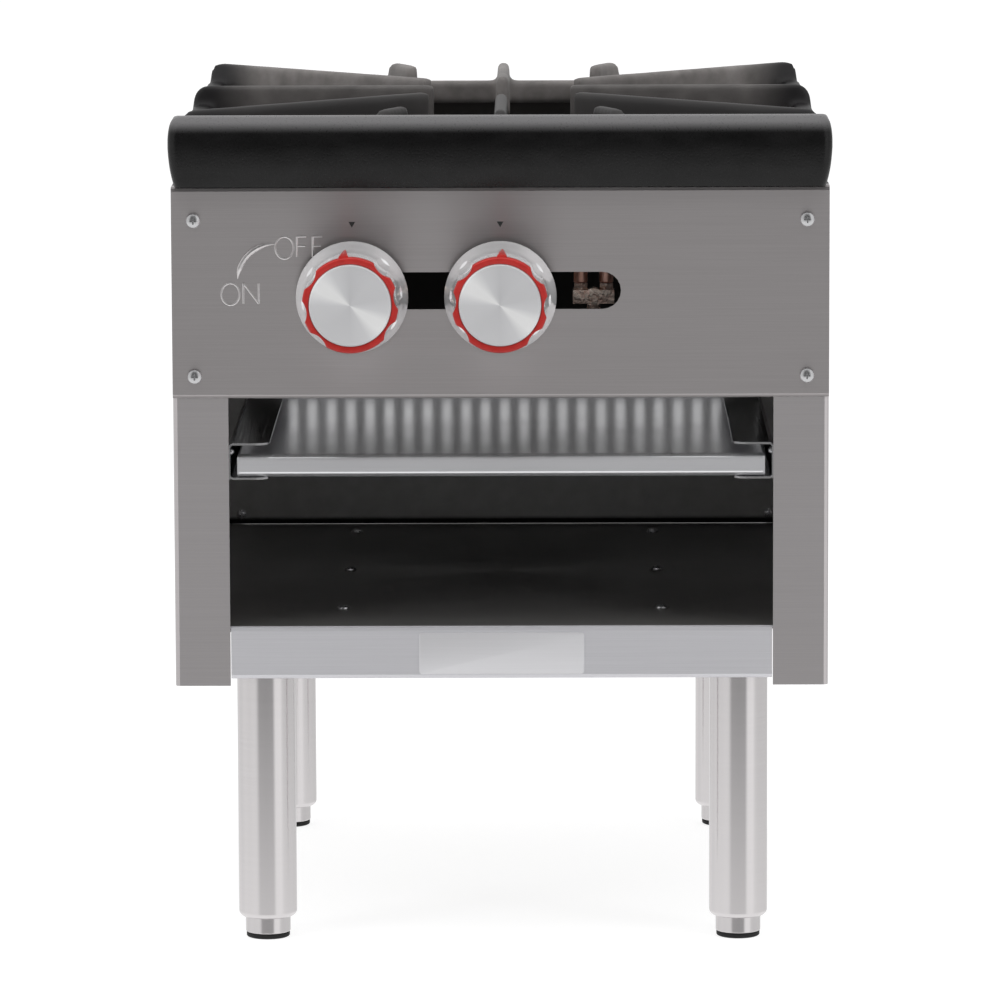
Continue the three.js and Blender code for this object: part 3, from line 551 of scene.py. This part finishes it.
for end in ("front", "rear"):
    for side in ("left", "right"):
        name = f"{end}_{side}"
        low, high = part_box(f"leg_{name}")
        centre = Vector(((low.x + high.x) / 2, (low.y + high.y) / 2, 0))
        radius = (high.x - low.x) / 2
        turn_in = [(low.z + turn_in_radius * (1 - math.cos(t)), radius - turn_in_radius * (1 - math.sin(t)))
                   for t in [math.radians(degrees) for degrees in turn_in_angles]]
        tube = turned("Z", centre, [
            (low.z + tube_gap, collar_radius), *turn_in, (high.z, radius), (high.z, radius - tube_wall),
            (low.z + collar_height, radius - tube_wall), (low.z + collar_height, collar_radius)],
            sides=leg_sides, ring=True)
        tube = settle(tube, f"leg_tube_{name}", tube_steel, "range_body")
        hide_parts(f"leg_{name}")

        foot_low, foot_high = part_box(f"foot_{name}")
        foot_radius = (foot_high.x - foot_low.x) / 2
        foot = turned("Z", centre, [
            *[(foot_low.z + height, foot_radius - inset) for height, inset in foot_edge],
            (foot_high.z, foot_radius), (foot_high.z, foot_bore),
            (foot_bore_floor, foot_bore), (foot_bore_floor, foot_bore_centre)], sides=leg_sides)
        foot = settle(foot, f"foot_sleeve_{name}", tube_steel, f"levelling_foot_{name}")
        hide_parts(f"foot_{name}")

        pad_low, pad_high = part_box(f"foot_pad_{name}")
        pad_radius = (pad_high.x - pad_low.x) / 2
        pad = turned("Z", centre, [
            *[(height, pad_radius - inset) for height, inset in pad_edge],
            (pad_high.z - pad_rim_height, pad_radius),
            (pad_high.z, pad_radius - pad_rim_inset)], sides=leg_sides)
        pad = settle(pad, f"pad_{name}", pad_rubber, f"levelling_foot_{name}")
        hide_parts(f"foot_pad_{name}")

        paint(aluminised, f"leg_plate_{name}")
        plate_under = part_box(f"leg_plate_{name}")[0].z
        for bolt_side, x in (("l", -leg_bolt_spread), ("r", leg_bolt_spread)):
            for bolt_end, y in (("f", -leg_bolt_spread), ("b", leg_bolt_spread)):
                nut = turned("Z", centre + Vector((x, y, 0)),
                             [(plate_under - depth, r) for depth, r in leg_bolt_steps], sides=6)
                nut = settle(nut, f"leg_bolt_{name}_{bolt_side}{bolt_end}", zinc, "range_body")


# ---- Drip tray and rails ----
# Bright stainless: two folded channels are screwed behind the columns, and a shallow tray with a
# hemmed front slides in them. The last two screws hold the back panel to the body.
tray_steel = brushed_sheet("tray_steel", (0.90, 0.90, 0.925), (0.93, 0.93, 0.955), "level",
                           smooth=0.22, rough=0.25, metal=0.62, spread=0)
paint(tray_steel, "drip_tray")
rail_steel = brushed_sheet("rail_steel", (0.56, 0.56, 0.57), (0.64, 0.64, 0.65), "deep",
                           smooth=0.14, rough=0.24)
paint(rail_steel, "tray_rail_left", "tray_rail_right")
rail_web_x = 0.1906
rail_web_thickness = 0.0015
rail_screw_inset = 0.0085
rail_screw_height = 0.3545
rail_screw_radius, rail_screw_head = 0.0021, 0.0024
back_screw_x = 0.2040
back_screw_height = 0.2400
back_screw_radius, back_screw_head = 0.0036, 0.0022
for side, sign in (("left", -1), ("right", 1)):
    low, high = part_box(f"tray_rail_{side}")
    web = sign * rail_web_x
    seat = (web - sign * rail_web_thickness, low.y + rail_screw_inset, rail_screw_height)
    screw = pan_head("X", -sign, seat, rail_screw_radius, rail_screw_head)
    screw = settle(screw, f"rail_screw_{side}", zinc, "range_body")
    seat = (sign * back_screw_x, back_face, back_screw_height)
    screw = pan_head("Y", -1, seat, back_screw_radius, back_screw_head)
    screw = settle(screw, f"back_screw_{side}", zinc, "range_body")


# ---- Gas train ----
# A black iron pipe with a cut thread at its inlet feeds two brass valves and the brass pilot valve;
# bent copper tubes run from that to the pilot heads.
def tube_along(corners, bend, radius, bend_steps=8, roundness=10):
    """A round tube through the corners, each rounded by a bend."""
    deselect()
    bpy.ops.curve.primitive_nurbs_path_add()
    run = bpy.context.object
    run.data.splines.clear()
    points = [Vector(corners[0])]
    for before, corner, after in zip(corners, corners[1:], corners[2:]):
        before, corner, after = Vector(before), Vector(corner), Vector(after)
        into = (corner - before).normalized()
        out = (after - corner).normalized()
        centre = corner + (out - into) * bend
        for step in range(bend_steps + 1):
            angle = math.radians(90) * step / bend_steps
            points.append(centre - out * bend * math.cos(angle) + into * bend * math.sin(angle))
    points.append(Vector(corners[-1]))
    line = run.data.splines.new("POLY")
    line.points.add(len(points) - 1)
    for point, spot in zip(line.points, points):
        point.co = (*spot, 1)
    run.data.bevel_depth = radius
    run.data.bevel_resolution = roundness
    run.data.use_fill_caps = True
    return run


pipe_black = mottled("pipe_black", (90, 90, 90), (0.018, 0.017, 0.017), (0.05, 0.047, 0.045),
                     smooth=0.42, rough=0.62, detail=8, Metallic=0.6)
paint(pipe_black, "gas_manifold", "manifold_cap")

pipe_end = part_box("gas_manifold")[1].y
pipe_radius = 0.01335
inlet_x, inlet_z = 0.180, 0.432
thread_pitch = 0.0018
thread_turns = 10
thread_runout = 0.0008
thread_root = pipe_radius + 0.0001
thread_crest = pipe_radius + 0.0009
thread_inside = pipe_radius - 0.0010
thread_start = pipe_end - thread_runout - thread_pitch * thread_turns
crests = []
for number in range(thread_turns):
    foot = thread_start + thread_pitch * number
    crests += [(foot, thread_root), (foot + thread_pitch / 2, thread_crest)]
thread_end = thread_start + thread_pitch * thread_turns
crests += [(thread_end, thread_root), (thread_end, thread_inside), (thread_start, thread_inside)]
thread = turned("Y", (inlet_x, 0, inlet_z), crests, ring=True)
thread_steel = mottled("thread_steel", (400, 400, 400), (0.10, 0.10, 0.10), (0.30, 0.29, 0.28),
                       smooth=0.3, rough=0.5, Metallic=1.0)
thread = settle(thread, "inlet_thread", thread_steel, "range_body", smooth_angle=20)

valve_brass = mottled("valve_brass", (260, 260, 260), (0.88, 0.63, 0.53), (1.0, 0.90, 0.80),
                      smooth=0.06, rough=0.18, detail=5, Metallic=0.9, depth=0.0011)
paint(valve_brass, "pilot_valve", "pilot_screw", "pilot_head_outer", "pilot_head_inner",
      "gas_valve_left", "gas_valve_right", "orifice_hood_left", "orifice_hood_right")
paint(aluminised, "valve_stem_left", "valve_stem_right")

pilot_copper = mottled("pilot_copper", (120, 120, 40), (0.50, 0.27, 0.21), (0.74, 0.47, 0.39),
                       smooth=0.34, rough=0.5, detail=5, Metallic=1.0)
tubes_run_back_at = 0.488
tube_bend = 0.009
sleeve_foot = 0.4705
# height over the sleeve's foot, and radius
sleeve_steps = [(0, 0.0044), (0.0006, 0.0050), (0.0080, 0.0050), (0.0095, 0.0040), (0.0110, 0.0034)]
for tube_name in ("pilot_tube_outer", "pilot_tube_inner"):
    low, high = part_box(tube_name)
    tube_radius = (high.x - low.x) / 2
    x = (low.x + high.x) / 2
    front_y = low.y + tube_radius
    rear_y = high.y - tube_radius
    run = tube_along([(x, front_y, low.z), (x, front_y, tubes_run_back_at),
                      (x, rear_y, tubes_run_back_at), (x, rear_y, high.z)], tube_bend, tube_radius)
    run = settle(run, f"{tube_name}_run", pilot_copper, "range_body", smooth_angle=60)
    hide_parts(tube_name)
    sleeve = turned("Z", (x, front_y, 0),
                    [(sleeve_foot + height, radius) for height, radius in sleeve_steps], sides=40)
    sleeve = settle(sleeve, f"{tube_name}_sleeve", pilot_copper, "range_body")


# ---- Burners ----
# Cast iron with drilled ports: two rings on one mixing tube and a small ring on its own. They rest
# on angle bars, and a sheet shutter sets the air at each mixing tube's mouth.
def merged_copy(name, cuts=0):
    """A copy of a solid with its loose triangles merged, each edge then cut in cuts places."""
    pick(nodes[name])
    bpy.ops.object.duplicate()
    copy = bpy.context.object
    copy.parent = None
    edit_all()
    bpy.ops.mesh.remove_doubles(threshold=1e-6)
    if cuts:
        bpy.ops.mesh.subdivide(number_cuts=cuts)
    bpy.ops.object.mode_set(mode="OBJECT")
    return copy


paint(aluminised, "burner_bar_front", "burner_bar_rear", "air_shutter_outer", "air_shutter_inner")
burner_iron = mottled("burner_iron", (420, 420, 420), (0.028, 0.026, 0.025), (0.06, 0.057, 0.055),
                      smooth=0.55, rough=0.8, detail=8, Metallic=0.35, depth=0.0004)

burner_centre = (0, 0.022)
# inside and outside radius of each cast ring, and the sides that its solid has
cast_rings = [(0.132, 0.168, 28), (0.086, 0.114, 20), (0.041, 0.069, 16)]
port_radius = 0.0014
port_depth = 0.0040
port_sides = 10
# radius and count of each ring of ports
ring_ports = {"outer_burner": [(0.1550, 40), (0.1450, 40), (0.1035, 28), (0.0965, 28)],
              "inner_burner": [(0.0585, 18), (0.0515, 18)]}
clear_below = (0, 0, -1)
for name, port_rings in ring_ports.items():
    casting = merged_copy(name, cuts=2)
    # the solid's many-sided rings are moved out to true circles
    for vertex in casting.data.vertices:
        reach = Vector((vertex.co.x - burner_centre[0], vertex.co.y - burner_centre[1]))
        for inside, outside, sides in cast_rings:
            if inside < reach.length < outside:
                half = math.pi / sides
                off_middle_angle = math.atan2(reach.y, reach.x) % (2 * half) - half
                reach *= math.cos(off_middle_angle) / math.cos(half)
                vertex.co.x = burner_centre[0] + reach.x
                vertex.co.y = burner_centre[1] + reach.y
                break
    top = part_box(name)[1].z
    deselect()
    bpy.ops.mesh.primitive_cylinder_add(vertices=port_sides, radius=port_radius, depth=port_depth * 2)
    drill = bpy.context.object
    drills = [drill]
    for reach, count in port_rings:
        for number in range(count):
            angle = math.tau * (number + 0.5) / count
            copy = drill.copy()
            copy.data = drill.data.copy()
            bpy.context.collection.objects.link(copy)
            copy.location = (burner_centre[0] + reach * math.cos(angle),
                             burner_centre[1] + reach * math.sin(angle), top)
            drills.append(copy)
    drill.location = clear_below
    deselect()
    for each in drills:
        each.select_set(True)
    bpy.context.view_layer.objects.active = drill
    bpy.ops.object.join()
    combine(casting, drill, "DIFFERENCE")
    casting = settle(casting, f"{name}_casting", burner_iron, "range_body", smooth_angle=38)
    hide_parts(name)


# ---- Front ledge ----
# One sand casting, hollow underneath and painted black, laid over the control panel's top flange. Its
# face and ends swell and roll over into a top that falls a little towards the grate.
ledge_iron = finish("ledge_iron", Specular_IOR_Level=0.3)
ledge_sand = noise(ledge_iron, (700, 700, 700), detail=6)
ledge_paint = noise(ledge_iron, (40, 40, 90), detail=6)
colours(ledge_iron, ledge_paint, dark=(0.0030, 0.0029, 0.0030), light=(0.008, 0.0078, 0.008))
gloss(ledge_iron, ledge_sand, smooth=0.25, rough=0.36)
relief(ledge_iron, ledge_sand, depth=0.00014)


def rounded(steps, between=4):
    """More steps on a smooth line through the given ones."""
    ends = [steps[0], *steps, steps[-1]]
    line = []
    for a, b, c, d in zip(ends, ends[1:], ends[2:], ends[3:]):
        for i in range(between):
            t = i / between
            line.append(tuple(
                0.5 * (2 * q + (r - p) * t + (2 * p - 5 * q + 4 * r - s) * t * t
                       + (3 * q - p - 3 * r + s) * t * t * t)
                for p, q, r, s in zip(a, b, c, d)))
    line.append(steps[-1])
    return line


def rolled_block(low, high, corner, sections, corner_segments=8):
    """An upright casting: its plan outline has rounded corners, and each section gives a height
    and how far the face and the ends are drawn in there."""
    centre_x = (low.x + high.x) / 2
    deselect()
    bpy.ops.mesh.primitive_plane_add(size=1, location=(centre_x, (low.y + high.y) / 2, low.z))
    bpy.context.object.scale = (high.x - low.x, high.y - low.y, 1)
    bpy.ops.object.transform_apply(location=True, rotation=True, scale=True)
    edit_all()
    bpy.ops.mesh.bevel(offset=corner, segments=corner_segments, affect="VERTICES")
    bpy.ops.mesh.select_all(action="SELECT")
    height, spread, depth = 0, 1, 1
    for number, (next_height, face_in, end_in) in enumerate(sections):
        if number:
            bpy.ops.mesh.extrude_region_move(
                TRANSFORM_OT_translate={"value": (0, 0, next_height - height)})
        next_spread = 1 - 2 * end_in / (high.x - low.x)
        next_depth = 1 - face_in / (high.y - low.y)
        bpy.ops.transform.resize(value=(next_spread / spread, next_depth / depth, 1),
                                 center_override=(centre_x, high.y, low.z + next_height))
        height, spread, depth = next_height, next_spread, next_depth
    bpy.ops.mesh.select_all(action="SELECT")
    bpy.ops.mesh.normals_make_consistent(inside=False)
    bpy.ops.object.mode_set(mode="OBJECT")
    return bpy.context.object


ledge_low, ledge_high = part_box("front_ledge")
ledge_half = (ledge_high.x - ledge_low.x) / 2
ledge_corner = 0.0070
ledge_edge = 0.0012
# painted highlight: the casting is lighter towards the top of its roll
crown_highlight_from, crown_highlight_full = ledge_high.z - 0.0120, ledge_high.z - 0.0030
crown_painted_highlight = (0.17, 0.167, 0.17)
fading_to(ledge_iron, "Z", crown_highlight_from, crown_highlight_full, crown_painted_highlight)
# height over the foot, how far the face is drawn in, how far each end is drawn in
ledge_sections = rounded([
    (0, 0.0048, 0.0042), (0.0060, 0.0029, 0.0026), (0.0150, 0.0010, 0.0010), (0.0270, 0, 0),
    (0.0360, 0.0007, 0.0002), (0.0425, 0.0029, 0.0012), (0.0460, 0.0052, 0.0026),
    (0.0483, 0.0082, 0.0046), (0.0493, 0.0115, 0.0070)])
# the smooth line swings a little past the widest section, and the casting doesn't
ledge_sections = [(height, max(0, face_in), max(0, end_in))
                  for height, face_in, end_in in ledge_sections]
ledge = rolled_block(ledge_low, ledge_high, ledge_corner, ledge_sections)

crown_fall = 0.0055
crown_front = ledge_low.y + 0.0160
crown_top = ledge_high.z - 0.0001
edit_all()
bpy.ops.mesh.bisect(plane_co=(0, crown_front, crown_top),
                    plane_no=(0, crown_fall / (ledge_high.y - crown_front), 1),
                    use_fill=True, clear_outer=True)
bpy.ops.object.mode_set(mode="OBJECT")

hollow_side = 0.0122
hollow_front = ledge_low.y + 0.0130
hollow_rear = ledge_high.y - 0.0075
hollow_depth = 0.0410
past_the_foot = 0.001
hollow = block((-ledge_half + hollow_side, hollow_front, ledge_low.z - past_the_foot),
               (ledge_half - hollow_side, hollow_rear, ledge_low.z + hollow_depth))
combine(ledge, hollow, "DIFFERENCE")
soften(ledge, ledge_edge, segments=3, angle=35)
ledge = settle(ledge, "ledge_casting", ledge_iron, "range_body", smooth_angle=35)
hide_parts("front_ledge")


# ---- Top grate ----
# One heavier sand casting, a rim with twelve fins, left grey-black and rougher than the ledge, with
# painted shade darkening it towards the front and the sides, so that its rear stays lighter. It isn't
# fixed, and lifts off; its edges are softened by the casting and by wear.
grate_iron = finish("grate_iron", Specular_IOR_Level=0.4)
grate_scale = noise(grate_iron, (55, 55, 55), detail=8)
colours(grate_iron, grate_scale, dark=(0.17, 0.158, 0.152), light=(0.30, 0.280, 0.270))
grate_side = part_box("top_grate")[1].x
# painted shade: the casting darkens towards the front, and towards each side below
front_darkening_from, front_darkening_full = 0.19, -0.10
front_painted_shade = (0.034, 0.032, 0.032)
fading_to(grate_iron, "Y", front_darkening_from, front_darkening_full, front_painted_shade)
rim_from, rim_full = grate_side - 0.050, grate_side - 0.012
side_painted_shade = (0.012, 0.011, 0.012)
for side in (-1, 1):
    fading_to(grate_iron, "X", side * rim_from, side * rim_full, side_painted_shade)

grate_grain = 0.0023
wear_share = 0.5
wear_passes = 6
grate = merged_copy("top_grate")
recast = add_modifier(grate, "REMESH")
recast.mode = "VOXEL"
recast.voxel_size = grate_grain
bpy.ops.object.modifier_apply(modifier=recast.name)
worn = add_modifier(grate, "SMOOTH")
worn.factor = wear_share
worn.iterations = wear_passes
bpy.ops.object.modifier_apply(modifier=worn.name)
grate = settle(grate, "grate_casting", grate_iron, "lift_off_grate", smooth_angle=180)
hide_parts("top_grate")


# ---- Knobs ----
# A chrome-plated bell with finger flutes, pushed onto the valve's stem. A red plastic ring with the
# pointer is fixed to its front, and a spun aluminium face with a painted sheen is let into the ring.
chrome = mottled("chrome_plate", (300, 300, 300), (0.95, 0.95, 0.96), (0.98, 0.98, 0.99),
                 smooth=0.09, rough=0.15, Metallic=0.6)
red = mottled("red_plastic", (240, 240, 240), (0.54, 0.026, 0.022), (0.62, 0.034, 0.028),
              smooth=0.28, rough=0.40, detail=5)

knob_sides = 144
knob_turns = {"left": math.radians(7.5), "right": math.radians(-2.5)}
flute_angles = (0, 40, 140, 180, 220, 320)
flute_reach = 0.0442
flute_radius = 0.0140
# distance in front of the panel, and share of the flute's radius
flute_steps = [(0.0640, 1), (0.0240, 1), (0.0190, 0.93), (0.0140, 0.76), (0.0110, 0.42)]
flute_end, flute_end_radius = 0.0100, 0.0004

# distance behind the bell's front, and radius; the flare is set by the solid's own radius
bell_rim = [(0, 0.0316), (0.0006, 0.0323)]
bell_waist = [(0.0012, 0.0324), (0.0090, 0.0318), (0.0160, 0.0316), (0.0300, 0.0324),
              (0.0370, 0.0342), (0.0420, 0.0372)]
flare_start, flare_full = 0.0445, 0.0452
flare_round = 0.0004
flare_edge = 0.0003
bell_edge = 0.0009

ring_radius = 0.0332
ring_bore = 0.0286
ring_gap = 0.0003
# distance behind the ring's front, and how far inside its outer radius
ring_front = [(0.0014, 0), (0.0005, 0.0004), (0, 0.0010)]
ring_edge = 0.0005
pointer_base, pointer_top = 0.0304, 0.0344
pointer_half = 0.0033
pointer_setback = 0.0006
pointer_point = 0.18
close_to = 0.001

# distance behind the face's front, and how far inside its radius: a bead round a flat middle
face_bead = [(0.0010, 0), (0.0005, 0.0002), (0.0002, 0.0005), (0, 0.0010), (0, 0.0013),
             (0.00015, 0.0016)]
face_dip = 0.00015
face_centre = 0.0003
# painted sheen of the turned face, as a grey level by angle from the right, upwards
painted_sheen_levels = [(-180, 0.76), (-130, 0.71), (-90, 0.70), (-62, 0.76), (-42, 1.0), (-26, 1.0),
                (-10, 0.79), (12, 0.71), (50, 0.71), (90, 0.65), (118, 0.75), (140, 1.0),
                (158, 1.0), (172, 0.83), (180, 0.76)]
painted_sheen_blue = 0.015


def fluted(piece, axis, turn):
    """Cuts the finger flutes, which run out where the bell flares."""
    for angle in flute_angles:
        around = math.radians(angle) + turn
        spot = axis + flute_reach * Vector((math.cos(around), 0, math.sin(around)))
        flute = turned("Y", spot, [
            *[(panel_face - distance, flute_radius * share) for distance, share in flute_steps],
            (panel_face - flute_end, flute_end_radius)], sides=72)
        combine(piece, flute, "DIFFERENCE")


def round_ramp(tree, levels, blue=0):
    """A colour ramp over a full turn with a grey level at each angle from -180 to 180 degrees,
    bluer by the given amount."""
    ramp = tree.nodes.new("ShaderNodeValToRGB")
    stops = ramp.color_ramp.elements
    for number, (degrees, level) in enumerate(levels):
        share = (degrees + 180) / 360
        stop = stops[number] if number < 2 else stops.new(share)
        stop.position = share
        stop.color = (level, level, max(level, min(1, level + blue)), 1)
    return ramp


for side, turn in knob_turns.items():
    body = f"knob_{side}_assembly"
    low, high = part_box(f"knob_{side}")
    axis = Vector(((low.x + high.x) / 2, 0, (low.z + high.z) / 2))
    flare = (high.x - low.x) / 2
    bell_front = low.y
    bell = turned("Y", axis, [
        *[(bell_front + depth, radius) for depth, radius in bell_rim],
        *rounded([*[(bell_front + depth, radius) for depth, radius in bell_waist],
                  (bell_front + flare_start, flare - flare_round)]),
        (bell_front + flare_full, flare), (high.y - flare_edge, flare),
        (high.y, flare - flare_round)], sides=knob_sides)
    fluted(bell, axis, turn)
    soften(bell, bell_edge, segments=3, angle=24)
    bell = settle(bell, f"knob_bell_{side}", chrome, body, smooth_angle=40)
    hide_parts(f"knob_{side}")

    ring_low, ring_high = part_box(f"knob_ring_{side}")
    ring_rear = bell_front - ring_gap
    ring = turned("Y", axis, [
        (ring_rear, ring_radius),
        *[(ring_low.y + depth, ring_radius - inset) for depth, inset in ring_front],
        (ring_low.y, ring_bore), (ring_rear, ring_bore)], sides=knob_sides, ring=True)
    fluted(ring, axis, turn)
    pointer = block((axis.x - pointer_half, ring_low.y + pointer_setback, axis.z + pointer_base),
                    (axis.x + pointer_half, ring_high.y, axis.z + pointer_top))
    for vertex in pointer.data.vertices:
        vertex.select = vertex.co.y > ring_high.y - close_to
    for part in (*pointer.data.edges, *pointer.data.polygons):
        part.select = all(pointer.data.vertices[i].select for i in part.vertices)
    bpy.ops.object.mode_set(mode="EDIT")
    bpy.ops.transform.resize(value=(pointer_point, 1, 1), center_override=(axis.x, ring_high.y, axis.z))
    bpy.ops.mesh.select_all(action="SELECT")
    bpy.ops.transform.rotate(value=turn, orient_axis="Y", center_override=axis)
    bpy.ops.object.mode_set(mode="OBJECT")
    combine(ring, pointer, "UNION")
    soften(ring, ring_edge)
    ring = settle(ring, f"knob_red_ring_{side}", red, body, smooth_angle=40)
    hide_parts(f"knob_ring_{side}")

    low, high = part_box(f"knob_cap_{side}")
    cap_radius = (high.x - low.x) / 2
    cap = turned("Y", axis, [
        (high.y, cap_radius),
        *[(low.y + depth, cap_radius - inset) for depth, inset in face_bead],
        (low.y + face_dip, face_centre)], sides=128)
    spun = finish(f"spun_aluminium_{side}", Metallic=0.12, Anisotropic=0.9, Roughness=0.34)
    tree = spun.node_tree
    shader = tree.nodes["Principled BSDF"]
    place = tree.nodes.new("ShaderNodeTexCoord")
    centred = tree.nodes.new("ShaderNodeMapping")
    centred.inputs["Location"].default_value = (-axis.x, -axis.z, 0)
    centred.inputs["Rotation"].default_value = (-math.pi / 2, 0, 0)
    # the face's colour is a painted sheen: brighter wedges by angle round its middle
    sheen = tree.nodes.new("ShaderNodeTexGradient")
    sheen.gradient_type = "RADIAL"
    painted_sheen_wedges = round_ramp(tree, painted_sheen_levels, painted_sheen_blue)
    tree.links.new(place.outputs["Object"], centred.inputs["Vector"])
    tree.links.new(centred.outputs["Vector"], sheen.inputs["Vector"])
    tree.links.new(sheen.outputs["Fac"], painted_sheen_wedges.inputs["Fac"])
    tree.links.new(painted_sheen_wedges.outputs["Color"], shader.inputs["Base Color"])
    tangent = tree.nodes.new("ShaderNodeTangent")
    tangent.direction_type = "RADIAL"
    tangent.axis = "Y"
    tree.links.new(tangent.outputs["Tangent"], shader.inputs["Tangent"])
    cap = settle(cap, f"knob_face_{side}", spun, body)
    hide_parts(f"knob_cap_{side}")


# ---- Floor and light ----
# A pale studio with a white floor. Shiny pieces mirror a plain room that is dark straight in front,
# light at the sides and behind, and lightest at the right front and from below. Three soft boxes,
# which no reflection shows, light the matt parts.
def light_ray(tree, kind):
    """Whether a ray is of this kind."""
    return tree.nodes.new("ShaderNodeLightPath").outputs[f"Is {kind} Ray"]


def reckon(tree, operation, *inputs):
    """A math node; each input is a number or another node's output."""
    step = tree.nodes.new("ShaderNodeMath")
    step.operation = operation
    for socket, value in zip(step.inputs, inputs):
        if isinstance(value, (int, float)):
            socket.default_value = value
        else:
            tree.links.new(value, socket)
    return step.outputs[0]


def mirror_ray(tree):
    """Whether a ray comes from a mirror or through glass."""
    return reckon(tree, "MAXIMUM", light_ray(tree, "Glossy"), light_ray(tree, "Transmission"))


def mixed(tree, share, first, second):
    """The first shader, or the second where the share is 1."""
    mix = tree.nodes.new("ShaderNodeMixShader")
    tree.links.new(share, mix.inputs["Fac"])
    tree.links.new(first, mix.inputs[1])
    tree.links.new(second, mix.inputs[2])
    return mix.outputs["Shader"]


def matt_surface(tree, grey):
    """A plain matt surface of this grey."""
    matt = tree.nodes.new("ShaderNodeBsdfDiffuse")
    matt.inputs["Color"].default_value = (grey, grey, grey, 1)
    return matt.outputs["BSDF"]


floor_size = 40
floor_height = -0.0003
floor_grey = 0.6
floor_seen_grey = 0.4
floor_glow = 0.83
deselect()
bpy.ops.mesh.primitive_plane_add(size=floor_size, location=(0, 0, floor_height))
floor = bpy.context.object
floor.name = "studio_floor"
floor_paint = bpy.data.materials.new("floor_paint")
floor_paint.use_nodes = True
tree = floor_paint.node_tree
tree.nodes.clear()
surface = tree.nodes.new("ShaderNodeOutputMaterial")
clear = tree.nodes.new("ShaderNodeBsdfTransparent").outputs["BSDF"]
unseen = mixed(tree, mirror_ray(tree), matt_surface(tree, floor_grey), clear)
glow = tree.nodes.new("ShaderNodeEmission")
glow.inputs["Strength"].default_value = floor_glow
seen = tree.nodes.new("ShaderNodeAddShader")
tree.links.new(matt_surface(tree, floor_seen_grey), seen.inputs[0])
tree.links.new(glow.outputs["Emission"], seen.inputs[1])
painted = mixed(tree, light_ray(tree, "Camera"), unseen, seen.outputs["Shader"])
tree.links.new(painted, surface.inputs["Surface"])
floor.data.materials.append(floor_paint)

# level of the room by degrees round from straight in front, with the right side at 90
room_levels = [(-180, 0.95), (-150, 0.98), (-120, 0.90), (-95, 1.0), (-72, 0.93), (-52, 0.98),
               (-40, 0.92), (-27, 0.20), (0, 0.15), (26, 0.19), (37, 1.18), (58, 1.22),
               (70, 0.86), (85, 0.76), (115, 0.80), (150, 0.76), (180, 0.95)]
overhead_level = 1.0
overhead_from = math.sin(math.radians(44))
overhead_full = math.sin(math.radians(62))
floor_level = 1.25
floor_from = -math.sin(math.radians(7))
floor_full = -math.sin(math.radians(24))
# how much of the room's level lights the matt parts
diffuse_share = 0.85


def easing_to(tree, level, value, start, end, next_level):
    """Goes smoothly to the next level as the value goes from start to end."""
    ease = tree.nodes.new("ShaderNodeMapRange")
    ease.interpolation_type = "SMOOTHSTEP"
    ease.inputs["From Min"].default_value = start
    ease.inputs["From Max"].default_value = end
    blend = tree.nodes.new("ShaderNodeMix")
    blend.inputs["B"].default_value = next_level
    tree.links.new(value, ease.inputs["Value"])
    tree.links.new(ease.outputs["Result"], blend.inputs["Factor"])
    tree.links.new(level, blend.inputs["A"])
    return blend.outputs["Result"]


world = bpy.data.worlds.new("studio")
bpy.context.scene.world = world
world.use_nodes = True
tree = world.node_tree
tree.nodes.clear()
surface = tree.nodes.new("ShaderNodeOutputWorld")
white = tree.nodes.new("ShaderNodeBackground")
white.inputs["Color"].default_value = (1, 1, 1, 1)
room = tree.nodes.new("ShaderNodeBackground")
place = tree.nodes.new("ShaderNodeTexCoord")
split = tree.nodes.new("ShaderNodeSeparateXYZ")
tree.links.new(place.outputs["Generated"], split.inputs["Vector"])
forward = reckon(tree, "MULTIPLY", split.outputs["Y"], -1)
bearing = reckon(tree, "ARCTAN2", split.outputs["X"], forward)
turn_share = reckon(tree, "MULTIPLY_ADD", bearing, 1 / math.tau, 0.5)
levels = round_ramp(tree, room_levels)
tree.links.new(turn_share, levels.inputs["Fac"])
height = split.outputs["Z"]
level = easing_to(tree, levels.outputs["Color"], height, overhead_from, overhead_full, overhead_level)
level = easing_to(tree, level, height, floor_from, floor_full, floor_level)
ray_share = reckon(tree, "MULTIPLY_ADD", mirror_ray(tree), 1 - diffuse_share, diffuse_share)
room_level = reckon(tree, "MULTIPLY", level, ray_share)
tree.links.new(room_level, room.inputs["Strength"])
studio = mixed(tree, light_ray(tree, "Camera"), room.outputs["Background"], white.outputs["Background"])
tree.links.new(studio, surface.inputs["Surface"])

# name, place, width, height and power
soft_boxes = [
    ("soft_box_above", (0.0, -0.9, 2.7), 1.8, 1.4, 19),
    ("soft_box_left", (-2.3, -1.9, 1.2), 0.8, 1.8, 15),
    ("soft_box_right", (2.3, -1.9, 1.2), 0.6, 1.8, 10),
]
soft_boxes_aim = (0, 0, 0.45)
for name, place, width, height, power in soft_boxes:
    bpy.ops.object.light_add(type="AREA", location=place)
    lamp = bpy.context.object
    lamp.name = name
    lamp.data.shape = "RECTANGLE"
    lamp.data.size = width
    lamp.data.size_y = height
    lamp.data.energy = power
    lamp.visible_glossy = False
    lamp.rotation_euler = (Vector(soft_boxes_aim) - Vector(place)).to_track_quat("-Z", "Y").to_euler()

bpy.context.scene.view_settings.view_transform = "Standard"
